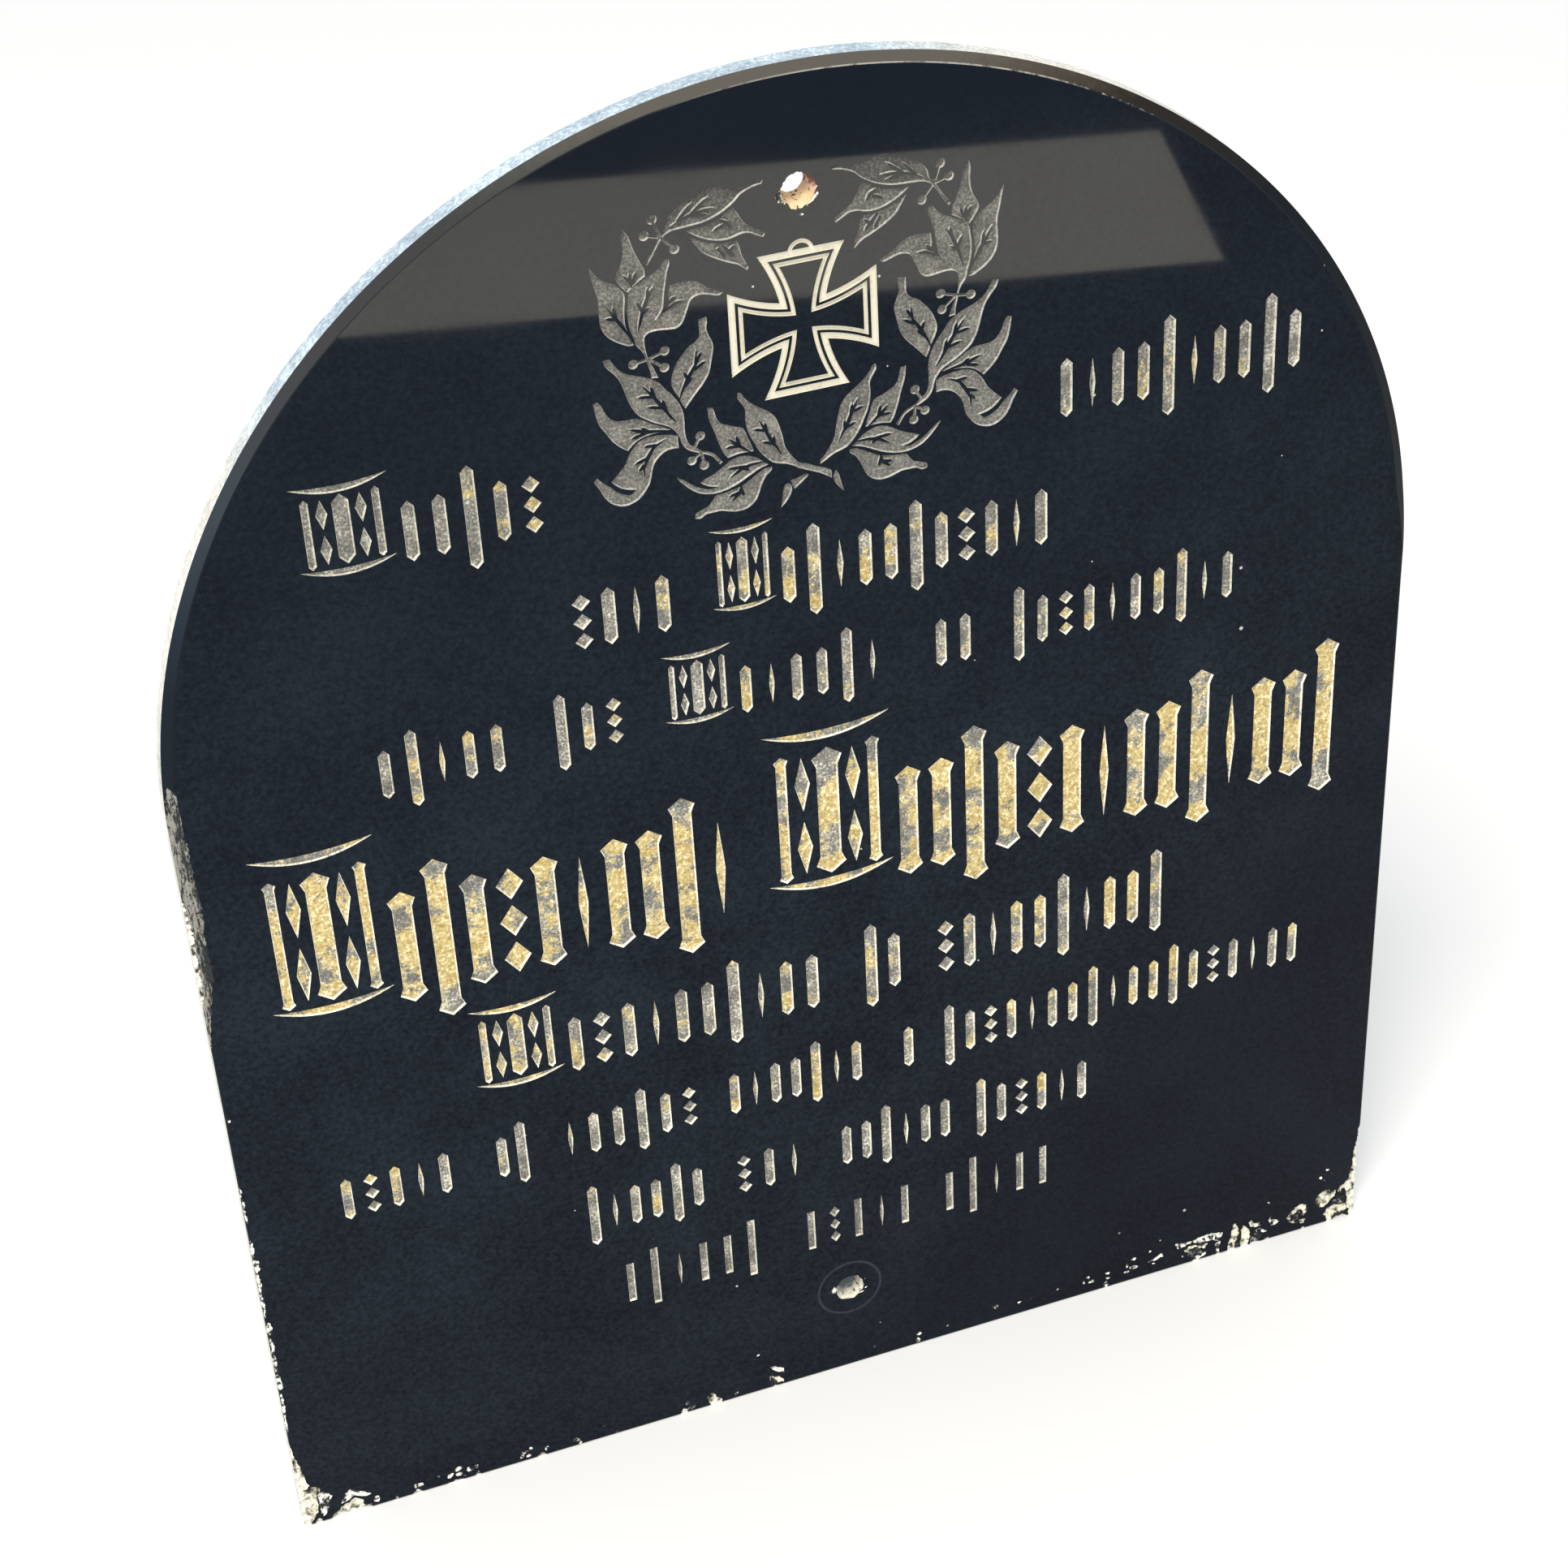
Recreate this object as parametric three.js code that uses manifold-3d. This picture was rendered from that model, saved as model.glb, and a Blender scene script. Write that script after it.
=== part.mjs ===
// Grave plaque: one slab of black glass with an arched top, a bevelled arch, two screw holes and a
// shallow engraved front. Millimetres, +Z up, front towards -Y, back face in the plane Y = 0.
import * as THREE from "three";
import { mergeVertices } from "three/addons/utils/BufferGeometryUtils.js";
import Module from "manifold-3d";

const wasm = await Module();
wasm.setup();

// The slab. Heights run up from the bottom edge, depths run out from the back face.
const WIDTH = 400;
const HEIGHT = 488;
const THICKNESS = 8;
const HALF_WIDTH = WIDTH / 2;
const ARCH_CENTRE = HEIGHT - HALF_WIDTH;
const ARCH_STEPS = 48;
const BEVEL_WIDTH = 3.4;
const BEVEL_DEPTH = 1.3;
const BEVEL_START = 300;

// Two screw holes on the middle line. The origin lies midway between them, on the back face.
const HOLE_RADIUS = 5.1;
const HOLE_SIDES = 16;
const TOP_HOLE_HEIGHT = 450.8;
const BOTTOM_HOLE_HEIGHT = 36.3;
const ORIGIN_HEIGHT = (TOP_HOLE_HEIGHT + BOTTOM_HOLE_HEIGHT) / 2;

// Engraving depth, and how far the cutting shapes stand out in front of the face.
const ENGRAVING_DEPTH = 0.8;
const CLEARANCE = 1;

// The cross with its hanging ring: two pale bands that follow one outline, cut at growing insets.
const CROSS_X = 0.7;
const CROSS_HEIGHT = 411.1;
const CROSS_HALF = 22.3;
const CROSS_TIP = 13;
const CROSS_WAIST = 7;
const CROSS_HOLLOW = 1.5;
const TIP_PER_INSET = 1.5;
const WAIST_PER_INSET = 1.1;
const CROSS_BANDS = [[0, 2.2], [2.9, 4.2]];
const RING_RADIUS = 4;
const RING_WALL = 1.2;
const CROSS_STEPS = 3;

// Left half of the wreath, mirrored about the cross. Each leaf: stalk end, tip, bow of its midrib to
// the left of that line, and the fullness of its left and right halves. Later leaves lie on top.
const LEAVES = [
  [-33, 445, -9.8, 439.8, 2.2, 4.4, 4.2],
  [-31.5, 443.5, -15, 430.6, 0.8, 3.2, 3],
  [-38.5, 445.5, -9.5, 456.3, 1.5, 4.6, 4.5],
  [-50, 431, -50.3, 450, -1, 3.6, 3.8],
  [-46, 417.3, -23, 424.8, 4.2, 5.2, 5],
  [-49.5, 413.5, -60.5, 440.5, 0.4, 4.8, 4.4],
  [-47, 413, -38, 438.5, 2.7, 5.2, 5],
  [-36.3, 392, -28.5, 418.5, 0, 5.8, 5.4],
  [-41, 386.5, -62.5, 399, 5.4, 4.8, 4.4],
  [-44, 379.5, -64.5, 375.5, 10.5, 2.4, 2.2],
  [-39, 381.5, -59.5, 373.5, -1, 4.5, 5.4],
  [-38, 384, -58.5, 411.8, -1.2, 5.2, 5.2],
  [-11.5, 366.8, -35.5, 356, 3.4, 4.2, 4],
  [-12.5, 368, -40, 370.5, 5.9, 1.7, 1.6],
  [-14.5, 370, -33, 367, -0.8, 1.6, 3.2],
  [-16, 374, -29.5, 390.5, 2.2, 4.4, 4.2],
  [-7, 368, -20.5, 393.3, -0.8, 4.8, 5],
];
const LEAF_STEPS = 4;
const LEAF_GAP = 0.7;
const LEAF_SKEW = 0.68;
const LEAF_TAPER = 1.3;
const VEIN_HALF = 0.55;
const VEIN_START = 0.12;
const VEIN_END = 0.62;

// Stalks as start, middle and end with a width, and the berries with their radius.
const STALKS = [
  [[6.5, 360], [0, 364.6], [-10, 368.5], 2.2],
  [[-0.5, 362.3], [-6, 360], [-9.2, 353.6], 2],
  [[-26.5, 372.3], [-35, 378], [-39, 386], 1.7],
  [[-44, 402.6], [-46, 410], [-49, 414.5], 1.6],
  [[-44.5, 437.8], [-41.5, 443], [-36, 446.2], 1.6],
];
const STALK_STEPS = 2;
const BERRIES = [
  [-32.3, 382.5], [-35, 375], [-31.8, 372.3], [-41, 411], [-50, 408.6], [-41.5, 405.6],
  [-44, 446.2], [-41.5, 450.4], [-36, 441],
];
const BERRY_RADIUS = 1.5;
const BERRY_SIDES = 6;

// Rows of engraved strokes from the top down. Each row: foot line, stroke height, how far a long stroke
// passes both ends, stroke width, pitch, kind of stroke ends, and its groups. A group is its left and
// right end, with the width of the ornament at its head where it has one.
const ROWS = [
  { foot: 362, height: 19.5, past: 7, width: 3.8, pitch: 8.1, ends: "point",
    groups: [[-151, -78.5, 28], [77.5, 161]] },
  { foot: 320, height: 19.5, past: 6, width: 4, pitch: 8.4, ends: "point",
    groups: [[-76, -43], [-32, 77.5, 20]] },
  { foot: 285, height: 17, past: 5, width: 3.4, pitch: 8, ends: "point",
    groups: [[-139.5, -97], [-85.5, -61], [-49.5, 21.5, 22], [36, 52], [62, 141]] },
  { foot: 209, height: 42, past: 9, width: 6.2, pitch: 11, ends: "lozenge",
    groups: [[-180, -30, 38], [-20, 180, 42]] },
  { foot: 165, height: 22, past: 6, width: 4, pitch: 8.5, ends: "point",
    groups: [[-121, -3, 29], [9, 25], [35, 119]] },
  { foot: 129.5, height: 17, past: 4.5, width: 3.3, pitch: 7.6, ends: "point",
    groups: [[-171, -131], [-119, -106], [-97, -48], [-40, 10], [20, 30], [36, 171]] },
  { foot: 94, height: 17, past: 4.5, width: 3.3, pitch: 7.6, ends: "point",
    groups: [[-91.5, -48], [-39.5, -13], [-2, 41], [47, 92]] },
  { foot: 60, height: 17, past: 4, width: 2.6, pitch: 8.4, ends: "flat",
    groups: [[-82, -30], [-17, 26], [34, 78]] },
];
const RHYTHM = ["full", "full", "long", "full", "stack", "full", "thin", "full", "full", "long", "thin"];
const THIN_STROKE = 0.25;
const POINT_PER_WIDTH = 0.5;
const LOZENGE_SPREAD = 1.4;
const STACK_COUNT = 3;
const STACK_HALF_WIDTH = 0.7;
const LOZENGE_FILL = 0.42;

// An ornament: a broad bar between two slim ones, lozenges in the gaps, a sagging swash at each end.
const ORNAMENT_PER_HEIGHT = 1.55;
const ORNAMENT_CORE = 0.74;
const ORNAMENT_BROAD = 0.17;
const ORNAMENT_SLIM = 0.08;
const ORNAMENT_GAP_PLACE = 0.2;
const ORNAMENT_SIDE_PLACE = 0.36;
const ORNAMENT_CHAIN = 2;
const CHAIN_HALF_WIDTH = 0.06;
const SWASH_SAG = 0.12;
const SWASH_THICKNESS = 0.08;
const SWASH_STEPS = 4;

// Broken edges on the front: place on the face, and the reach of each break sideways, upwards and into
// the slab. The two corners have lost the widest shells, and the left edge is ground away in one long flat.
const WIDE_BREAK = 8.5;
const BREAK_TURN = 0.4;
const BREAKS = [
  [-200, 8, 12, 17, 2.6], [-182, 0, 9.5, 12, 2.4], [200, 6, 8.8, 18, 2.8], [190, 3, 8.8, 10, 2.4],
  [-200, 262, 6.5, 42, 3], [-201, 205, 4, 16, 3], [-201, 160, 3, 20, 3], [-201, 90, 3.2, 30, 3],
  [-162, 0, 4, 5, 2], [-142, 0, 6, 6, 3], [-117, 0, 5, 6, 2.5], [-80, 0, 5, 5, 2], [-50, 0, 4, 5, 2],
  [-28, 0, 4, 9, 2], [38, 0, 3, 4, 2], [104, 0, 6, 6, 2.5], [119, 0, 5, 6, 2],
  [136, 0, 7, 12, 2.4], [154, 0, 8, 12, 2.8], [172, 0, 7, 9, 2.4],
];

function polygon(points) {
  return new THREE.Shape(points.map(([x, z]) => new THREE.Vector2(x, z)));
}

// A closed geometry becomes a solid that can be joined and cut.
function solid(geometry) {
  geometry.deleteAttribute("normal");
  geometry.deleteAttribute("uv");
  const merged = mergeVertices(geometry);
  return new wasm.Manifold(new wasm.Mesh({
    numProp: 3,
    vertProperties: new Float32Array(merged.attributes.position.array),
    triVerts: new Uint32Array(merged.index.array),
  }));
}

// A cutter that takes a shape out of the front face to the engraving depth.
function engraved(shape) {
  const drawn = { depth: ENGRAVING_DEPTH + CLEARANCE, bevelEnabled: false, curveSegments: CROSS_STEPS };
  const geometry = new THREE.ExtrudeGeometry(shape, drawn);
  return solid(geometry.translate(0, 0, THICKNESS - ENGRAVING_DEPTH));
}

// The slab is drawn out in two steps, and the front rim of its arch is drawn in to form the bevel.
function slab() {
  const outline = new THREE.Shape();
  outline.moveTo(-HALF_WIDTH, 0);
  outline.lineTo(HALF_WIDTH, 0);
  outline.lineTo(HALF_WIDTH, ARCH_CENTRE);
  outline.absarc(0, ARCH_CENTRE, HALF_WIDTH, 0, Math.PI);
  const drawn = { depth: THICKNESS, steps: 2, bevelEnabled: false, curveSegments: ARCH_STEPS / 2 };
  const geometry = new THREE.ExtrudeGeometry(outline, drawn);
  const corners = geometry.attributes.position;
  const drawIn = 1 - BEVEL_WIDTH / HALF_WIDTH;
  for (let i = 0; i < corners.count; i++) {
    const [x, height, depth] = [corners.getX(i), corners.getY(i), corners.getZ(i)];
    if (depth === THICKNESS / 2) corners.setZ(i, THICKNESS - BEVEL_DEPTH);
    if (depth === THICKNESS && height > BEVEL_START) {
      corners.setXY(i, x * drawIn, ARCH_CENTRE + (height - ARCH_CENTRE) * drawIn);
    }
  }
  return solid(geometry);
}

function screwHole(height) {
  const bore = new THREE.CylinderGeometry(HOLE_RADIUS, HOLE_RADIUS, 3 * THICKNESS, HOLE_SIDES);
  return solid(bore.rotateX(Math.PI / 2).translate(0, height, THICKNESS / 2));
}

function breakOff([x, height, reachX, reachUp, reachIn]) {
  const chip = new THREE.IcosahedronGeometry(1, reachX > WIDE_BREAK ? 1 : 0);
  chip.rotateZ(BREAK_TURN).rotateX(BREAK_TURN).scale(reachX, reachUp, reachIn);
  return solid(chip.translate(x, height, THICKNESS));
}

// One outline of the cross, drawn in by the inset: four flared arms with hollow sides.
function crossPath(path, inset) {
  const half = CROSS_HALF - inset;
  const tip = CROSS_TIP - inset * TIP_PER_INSET;
  const waist = CROSS_WAIST - inset * WAIST_PER_INSET;
  const mid = (half + waist) / 2;
  const side = (tip + waist) / 2 - CROSS_HOLLOW;
  const place = (x, z, turn) => {
    const point = new THREE.Vector2(x, z).rotateAround(new THREE.Vector2(), (turn * Math.PI) / 2);
    return point.add(new THREE.Vector2(CROSS_X, CROSS_HEIGHT));
  };
  path.moveTo(...place(half, -tip, 0));
  for (const turn of [0, 1, 2, 3]) {
    path.lineTo(...place(half, tip, turn));
    path.quadraticCurveTo(...place(mid, side, turn), ...place(waist, waist, turn));
    path.quadraticCurveTo(...place(side, mid, turn), ...place(tip, half, turn));
  }
  return path;
}

function crossCutters() {
  const bands = CROSS_BANDS.map(([outer, inner]) => {
    const band = crossPath(new THREE.Shape(), outer);
    band.holes.push(crossPath(new THREE.Path(), inner));
    return engraved(band);
  });
  const ring = new THREE.Shape();
  const ringFoot = CROSS_HEIGHT + CROSS_HALF - CROSS_BANDS[0][1] / 2;
  ring.absarc(CROSS_X, ringFoot, RING_RADIUS, 0, Math.PI);
  ring.absarc(CROSS_X, ringFoot, RING_RADIUS - RING_WALL, Math.PI, 0, true);
  return [...bands, engraved(ring)];
}

// How full a leaf is along its midrib: a wedge at the stalk, drawn out to a flame-like tip.
function fullness(t) {
  return Math.sin(Math.PI * t ** LEAF_SKEW) ** LEAF_TAPER;
}

function leafPoint([baseX, baseZ, tipX, tipZ, bow], t, offset) {
  const length = Math.hypot(tipX - baseX, tipZ - baseZ);
  const lift = (4 * bow * t * (1 - t) + offset) / length;
  return [
    baseX + (tipX - baseX) * t - (tipZ - baseZ) * lift,
    baseZ + (tipZ - baseZ) * t + (tipX - baseX) * lift,
  ];
}

function leafShape(leaf, grow = 0) {
  const [baseX, baseZ, tipX, tipZ, , left, right] = leaf;
  const longer = grow / Math.hypot(tipX - baseX, tipZ - baseZ);
  const points = [leafPoint(leaf, -longer, 0)];
  for (let i = 1; i < LEAF_STEPS; i++) {
    points.push(leafPoint(leaf, i / LEAF_STEPS, -(right + grow) * fullness(i / LEAF_STEPS)));
  }
  points.push(leafPoint(leaf, 1 + longer, 0));
  for (let i = LEAF_STEPS - 1; i > 0; i--) {
    points.push(leafPoint(leaf, i / LEAF_STEPS, (left + grow) * fullness(i / LEAF_STEPS)));
  }
  return polygon(points);
}

// The midrib is left standing as a slim dark wedge.
function veinShape(leaf) {
  const ends = [[VEIN_START, 0], [VEIN_END, -VEIN_HALF], [VEIN_END, VEIN_HALF]];
  return polygon(ends.map(([t, offset]) => leafPoint(leaf, t, offset)));
}

function stalkShape([start, middle, end, width]) {
  const [a, b, c] = [start, middle, end].map(([x, z]) => new THREE.Vector2(x, z));
  const curve = new THREE.SplineCurve([a, b, c]);
  const rims = [-0.5, 0.5].map((side) => curve.getPoints(STALK_STEPS).map((point, i) => {
    const along = curve.getTangent(i / STALK_STEPS);
    return [point.x - along.y * side * width, point.y + along.x * side * width];
  }));
  return polygon([...rims[0], ...rims[1].reverse()]);
}

function berryShape([x, z]) {
  const angles = Array.from({ length: BERRY_SIDES }, (_, i) => (2 * Math.PI * i) / BERRY_SIDES);
  return polygon(angles.map((a) => [x + BERRY_RADIUS * Math.cos(a), z + BERRY_RADIUS * Math.sin(a)]));
}

// Leaves are laid one on another, each clearing a thin standing line around itself.
function wreathHalf() {
  let half = wasm.Manifold.union([...STALKS.map(stalkShape), ...BERRIES.map(berryShape)].map(engraved));
  for (const leaf of LEAVES) {
    const laid = engraved(leafShape(leaf)).subtract(engraved(veinShape(leaf)));
    half = half.subtract(engraved(leafShape(leaf, LEAF_GAP))).add(laid);
  }
  return half;
}

function wreathCutters() {
  const half = wreathHalf();
  return [half, half.mirror([1, 0, 0]).translate([2 * CROSS_X, 0, 0])];
}

// An upright stroke whose two ends are flat, pointed or spread into lozenges.
function barShape(x, bottom, top, width, ends) {
  const half = width / 2;
  const point = width * POINT_PER_WIDTH;
  const foot = {
    flat: [[half, 0]],
    point: [[0, 0], [half, point]],
    lozenge: [[0, 0], [half * LOZENGE_SPREAD, point], [half, 2 * point]],
  }[ends];
  const head = [...foot].reverse();
  const rising = [...foot.map(([dx, dz]) => [dx, bottom + dz]), ...head.map(([dx, dz]) => [dx, top - dz])];
  const falling = rising.filter(([dx]) => dx > 0).reverse().map(([dx, z]) => [-dx, z]);
  return polygon([...rising, ...falling].map(([dx, z]) => [x + dx, z]));
}

function lozengeShape(x, z, halfWidth, halfHeight) {
  return polygon([[x, z - halfHeight], [x + halfWidth, z], [x, z + halfHeight], [x - halfWidth, z]]);
}

function lozengeChain(x, bottom, top, count, halfWidth) {
  const step = (top - bottom) / count;
  const rungs = Array.from({ length: count }, (_, i) => bottom + (i + 0.5) * step);
  return rungs.map((z) => lozengeShape(x, z, halfWidth, LOZENGE_FILL * step));
}

// A level crescent that sags in the middle and is pointed at both ends.
function swashShape(x, z, width) {
  const rim = (sag) => Array.from({ length: SWASH_STEPS + 1 }, (_, i) => {
    const side = (2 * i) / SWASH_STEPS - 1;
    return [x + (side * width) / 2, z - sag * width * (1 - side * side)];
  });
  const inner = rim(SWASH_SAG - SWASH_THICKNESS).slice(1, -1).reverse();
  return polygon([...rim(SWASH_SAG), ...inner]);
}

function ornamentShapes(row, start, width) {
  const centre = start + width / 2;
  const height = row.height * ORNAMENT_PER_HEIGHT;
  const middle = row.foot + height / 2;
  const [bottom, top] = [middle - (height * ORNAMENT_CORE) / 2, middle + (height * ORNAMENT_CORE) / 2];
  const bar = (place, broad) => barShape(centre + place * width, bottom, top, broad * width, row.ends);
  const chain = (place) => lozengeChain(
    centre + place * width, bottom, top, ORNAMENT_CHAIN, CHAIN_HALF_WIDTH * width);
  return [
    bar(0, ORNAMENT_BROAD),
    bar(-ORNAMENT_SIDE_PLACE, ORNAMENT_SLIM),
    bar(ORNAMENT_SIDE_PLACE, ORNAMENT_SLIM),
    ...chain(-ORNAMENT_GAP_PLACE),
    ...chain(ORNAMENT_GAP_PLACE),
    swashShape(centre, bottom, width),
    swashShape(centre, row.foot + height, width),
  ];
}

function strokeShapes(row, kind, x) {
  const top = row.foot + row.height;
  if (kind === "stack") return lozengeChain(x, row.foot, top, STACK_COUNT, row.width * STACK_HALF_WIDTH);
  if (kind === "thin") return lozengeChain(x, row.foot, top, 1, row.width * THIN_STROKE);
  const past = kind === "long" ? row.past : 0;
  return [barShape(x, row.foot - past, top + past, row.width, row.ends)];
}

function strokeCutters() {
  const shapes = [];
  let beat = 0;
  for (const row of ROWS) {
    for (const [start, end, head = 0] of row.groups) {
      if (head > 0) shapes.push(...ornamentShapes(row, start, head));
      const room = end - start - head;
      const count = Math.max(1, Math.round(room / row.pitch));
      for (let i = 0; i < count; i++) {
        const x = start + head + ((i + 0.5) * room) / count;
        shapes.push(...strokeShapes(row, RHYTHM[beat % RHYTHM.length], x));
        beat += 1;
      }
    }
  }
  return shapes.map(engraved);
}

function plaqueGeometry() {
  const cutters = wasm.Manifold.union([
    screwHole(TOP_HOLE_HEIGHT),
    screwHole(BOTTOM_HOLE_HEIGHT),
    ...BREAKS.map(breakOff),
    ...crossCutters(),
    ...wreathCutters(),
    ...strokeCutters(),
  ]);
  const { vertProperties, triVerts } = slab().subtract(cutters).getMesh();
  const geometry = new THREE.BufferGeometry();
  geometry.setAttribute("position", new THREE.BufferAttribute(vertProperties, 3));
  geometry.setIndex(new THREE.BufferAttribute(triVerts, 1));
  geometry.computeVertexNormals();
  return geometry;
}

const blackGlass = new THREE.MeshStandardMaterial({ color: 0x1c2229, roughness: 0.08, metalness: 0 });
const plaque = new THREE.Mesh(plaqueGeometry(), blackGlass);
plaque.name = "plaque";
plaque.rotation.x = Math.PI / 2;
plaque.position.z = -ORIGIN_HEIGHT;

const gravePlaque = new THREE.Group();
gravePlaque.add(plaque);

export default gravePlaque;
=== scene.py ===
"""Grave plaque of black glass: polished face, bevelled arch, engraved wreath, cross and rows of strokes."""
import math
import random

import bmesh
import bpy
from mathutils import Euler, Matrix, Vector, noise
from mathutils.geometry import delaunay_2d_cdt


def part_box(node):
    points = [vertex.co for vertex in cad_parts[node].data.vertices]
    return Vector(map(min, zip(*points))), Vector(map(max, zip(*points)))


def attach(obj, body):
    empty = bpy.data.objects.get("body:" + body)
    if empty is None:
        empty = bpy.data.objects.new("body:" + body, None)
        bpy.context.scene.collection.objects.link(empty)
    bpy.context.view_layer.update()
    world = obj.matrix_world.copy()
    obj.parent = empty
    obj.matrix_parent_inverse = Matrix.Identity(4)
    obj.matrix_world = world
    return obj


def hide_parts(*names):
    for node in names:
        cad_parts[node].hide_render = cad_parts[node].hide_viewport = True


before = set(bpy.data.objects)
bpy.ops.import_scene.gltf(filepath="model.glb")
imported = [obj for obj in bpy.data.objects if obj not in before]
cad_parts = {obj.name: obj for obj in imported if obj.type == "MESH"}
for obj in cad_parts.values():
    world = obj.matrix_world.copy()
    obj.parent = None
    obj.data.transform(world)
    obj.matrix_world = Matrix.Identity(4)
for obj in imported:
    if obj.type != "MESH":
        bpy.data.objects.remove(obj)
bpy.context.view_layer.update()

# The slab, in millimetres. Heights run up from the bottom edge, depths run out from the back face.
MM = 0.001
low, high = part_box("plaque")
HALF_WIDTH = (high.x - low.x) / 2 / MM
HEIGHT = (high.z - low.z) / MM
THICKNESS = (high.y - low.y) / MM
ARCH_CENTRE = HEIGHT - HALF_WIDTH
ARCH_STEPS = 192
BEVEL_WIDTH = 2.9
BEVEL_DEPTH = 1.3
BEVEL_FADE = 22
ARRIS = 0.4
# Width of the arris line between bevel and face, which carries a painted highlight.
ARRIS_LINE = 0.45
FACE_GRID = 7
SHARP_EDGE = math.radians(16)
TINY = 0.001

# Two screw holes close to the middle line, with rough walls that narrow to the back and flaked rims.
TOP_HOLE = {"x": 1.0, "height": 450.8, "radius": 5.1, "back_radius": 4.1, "flare": 0.25,
            "finish": "rust_and_shade", "seed": 1.7}
BOTTOM_HOLE = {"x": 0.0, "height": 37.0, "radius": 5.0, "back_radius": 3.6, "flare": 0.15,
               "finish": "lime", "seed": 5.2}
HOLE_BACK_RISE = 0.5
HOLE_SEGMENTS = 96
HOLE_RINGS = 20
HOLE_ROUGHNESS = 0.2
WAVES_AROUND = 2
WAVES_ALONG = 0.5
WAVE_FALL, WAVE_STEP, WAVE_LAYERS = 0.7, 2.0, 5
RIM_FLARE_DEPTH = 1.1
LIME_BEHIND = 4
WASHER_RADIUS = 12
WASHER_LINE = 1.0

# Engraving: depth, how far its walls lean, and how far the cutting shapes stand out in front of the face.
ENGRAVING_DEPTH = 0.8
WALL_RUN = 0.34
SCUFF_DEPTH = 0.05
CLEARANCE = 0.5
MITRE = 4

# The cross with its hanging ring: two pale bands that follow one outline, cut at growing insets.
CROSS_X = 0.7
CROSS_HEIGHT = 411.1
CROSS_HALF = 22.3
CROSS_TIP = 13
CROSS_WAIST = 7
CROSS_HOLLOW = 1.5
TIP_PER_INSET = 1.5
WAIST_PER_INSET = 1.1
CROSS_BANDS = [(0, 2.1), (3.0, 4.3)]
CROSS_RUN = 0.18
RING_RADIUS = 4
RING_WALL = 1.2
CURVE_STEPS = 14

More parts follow.
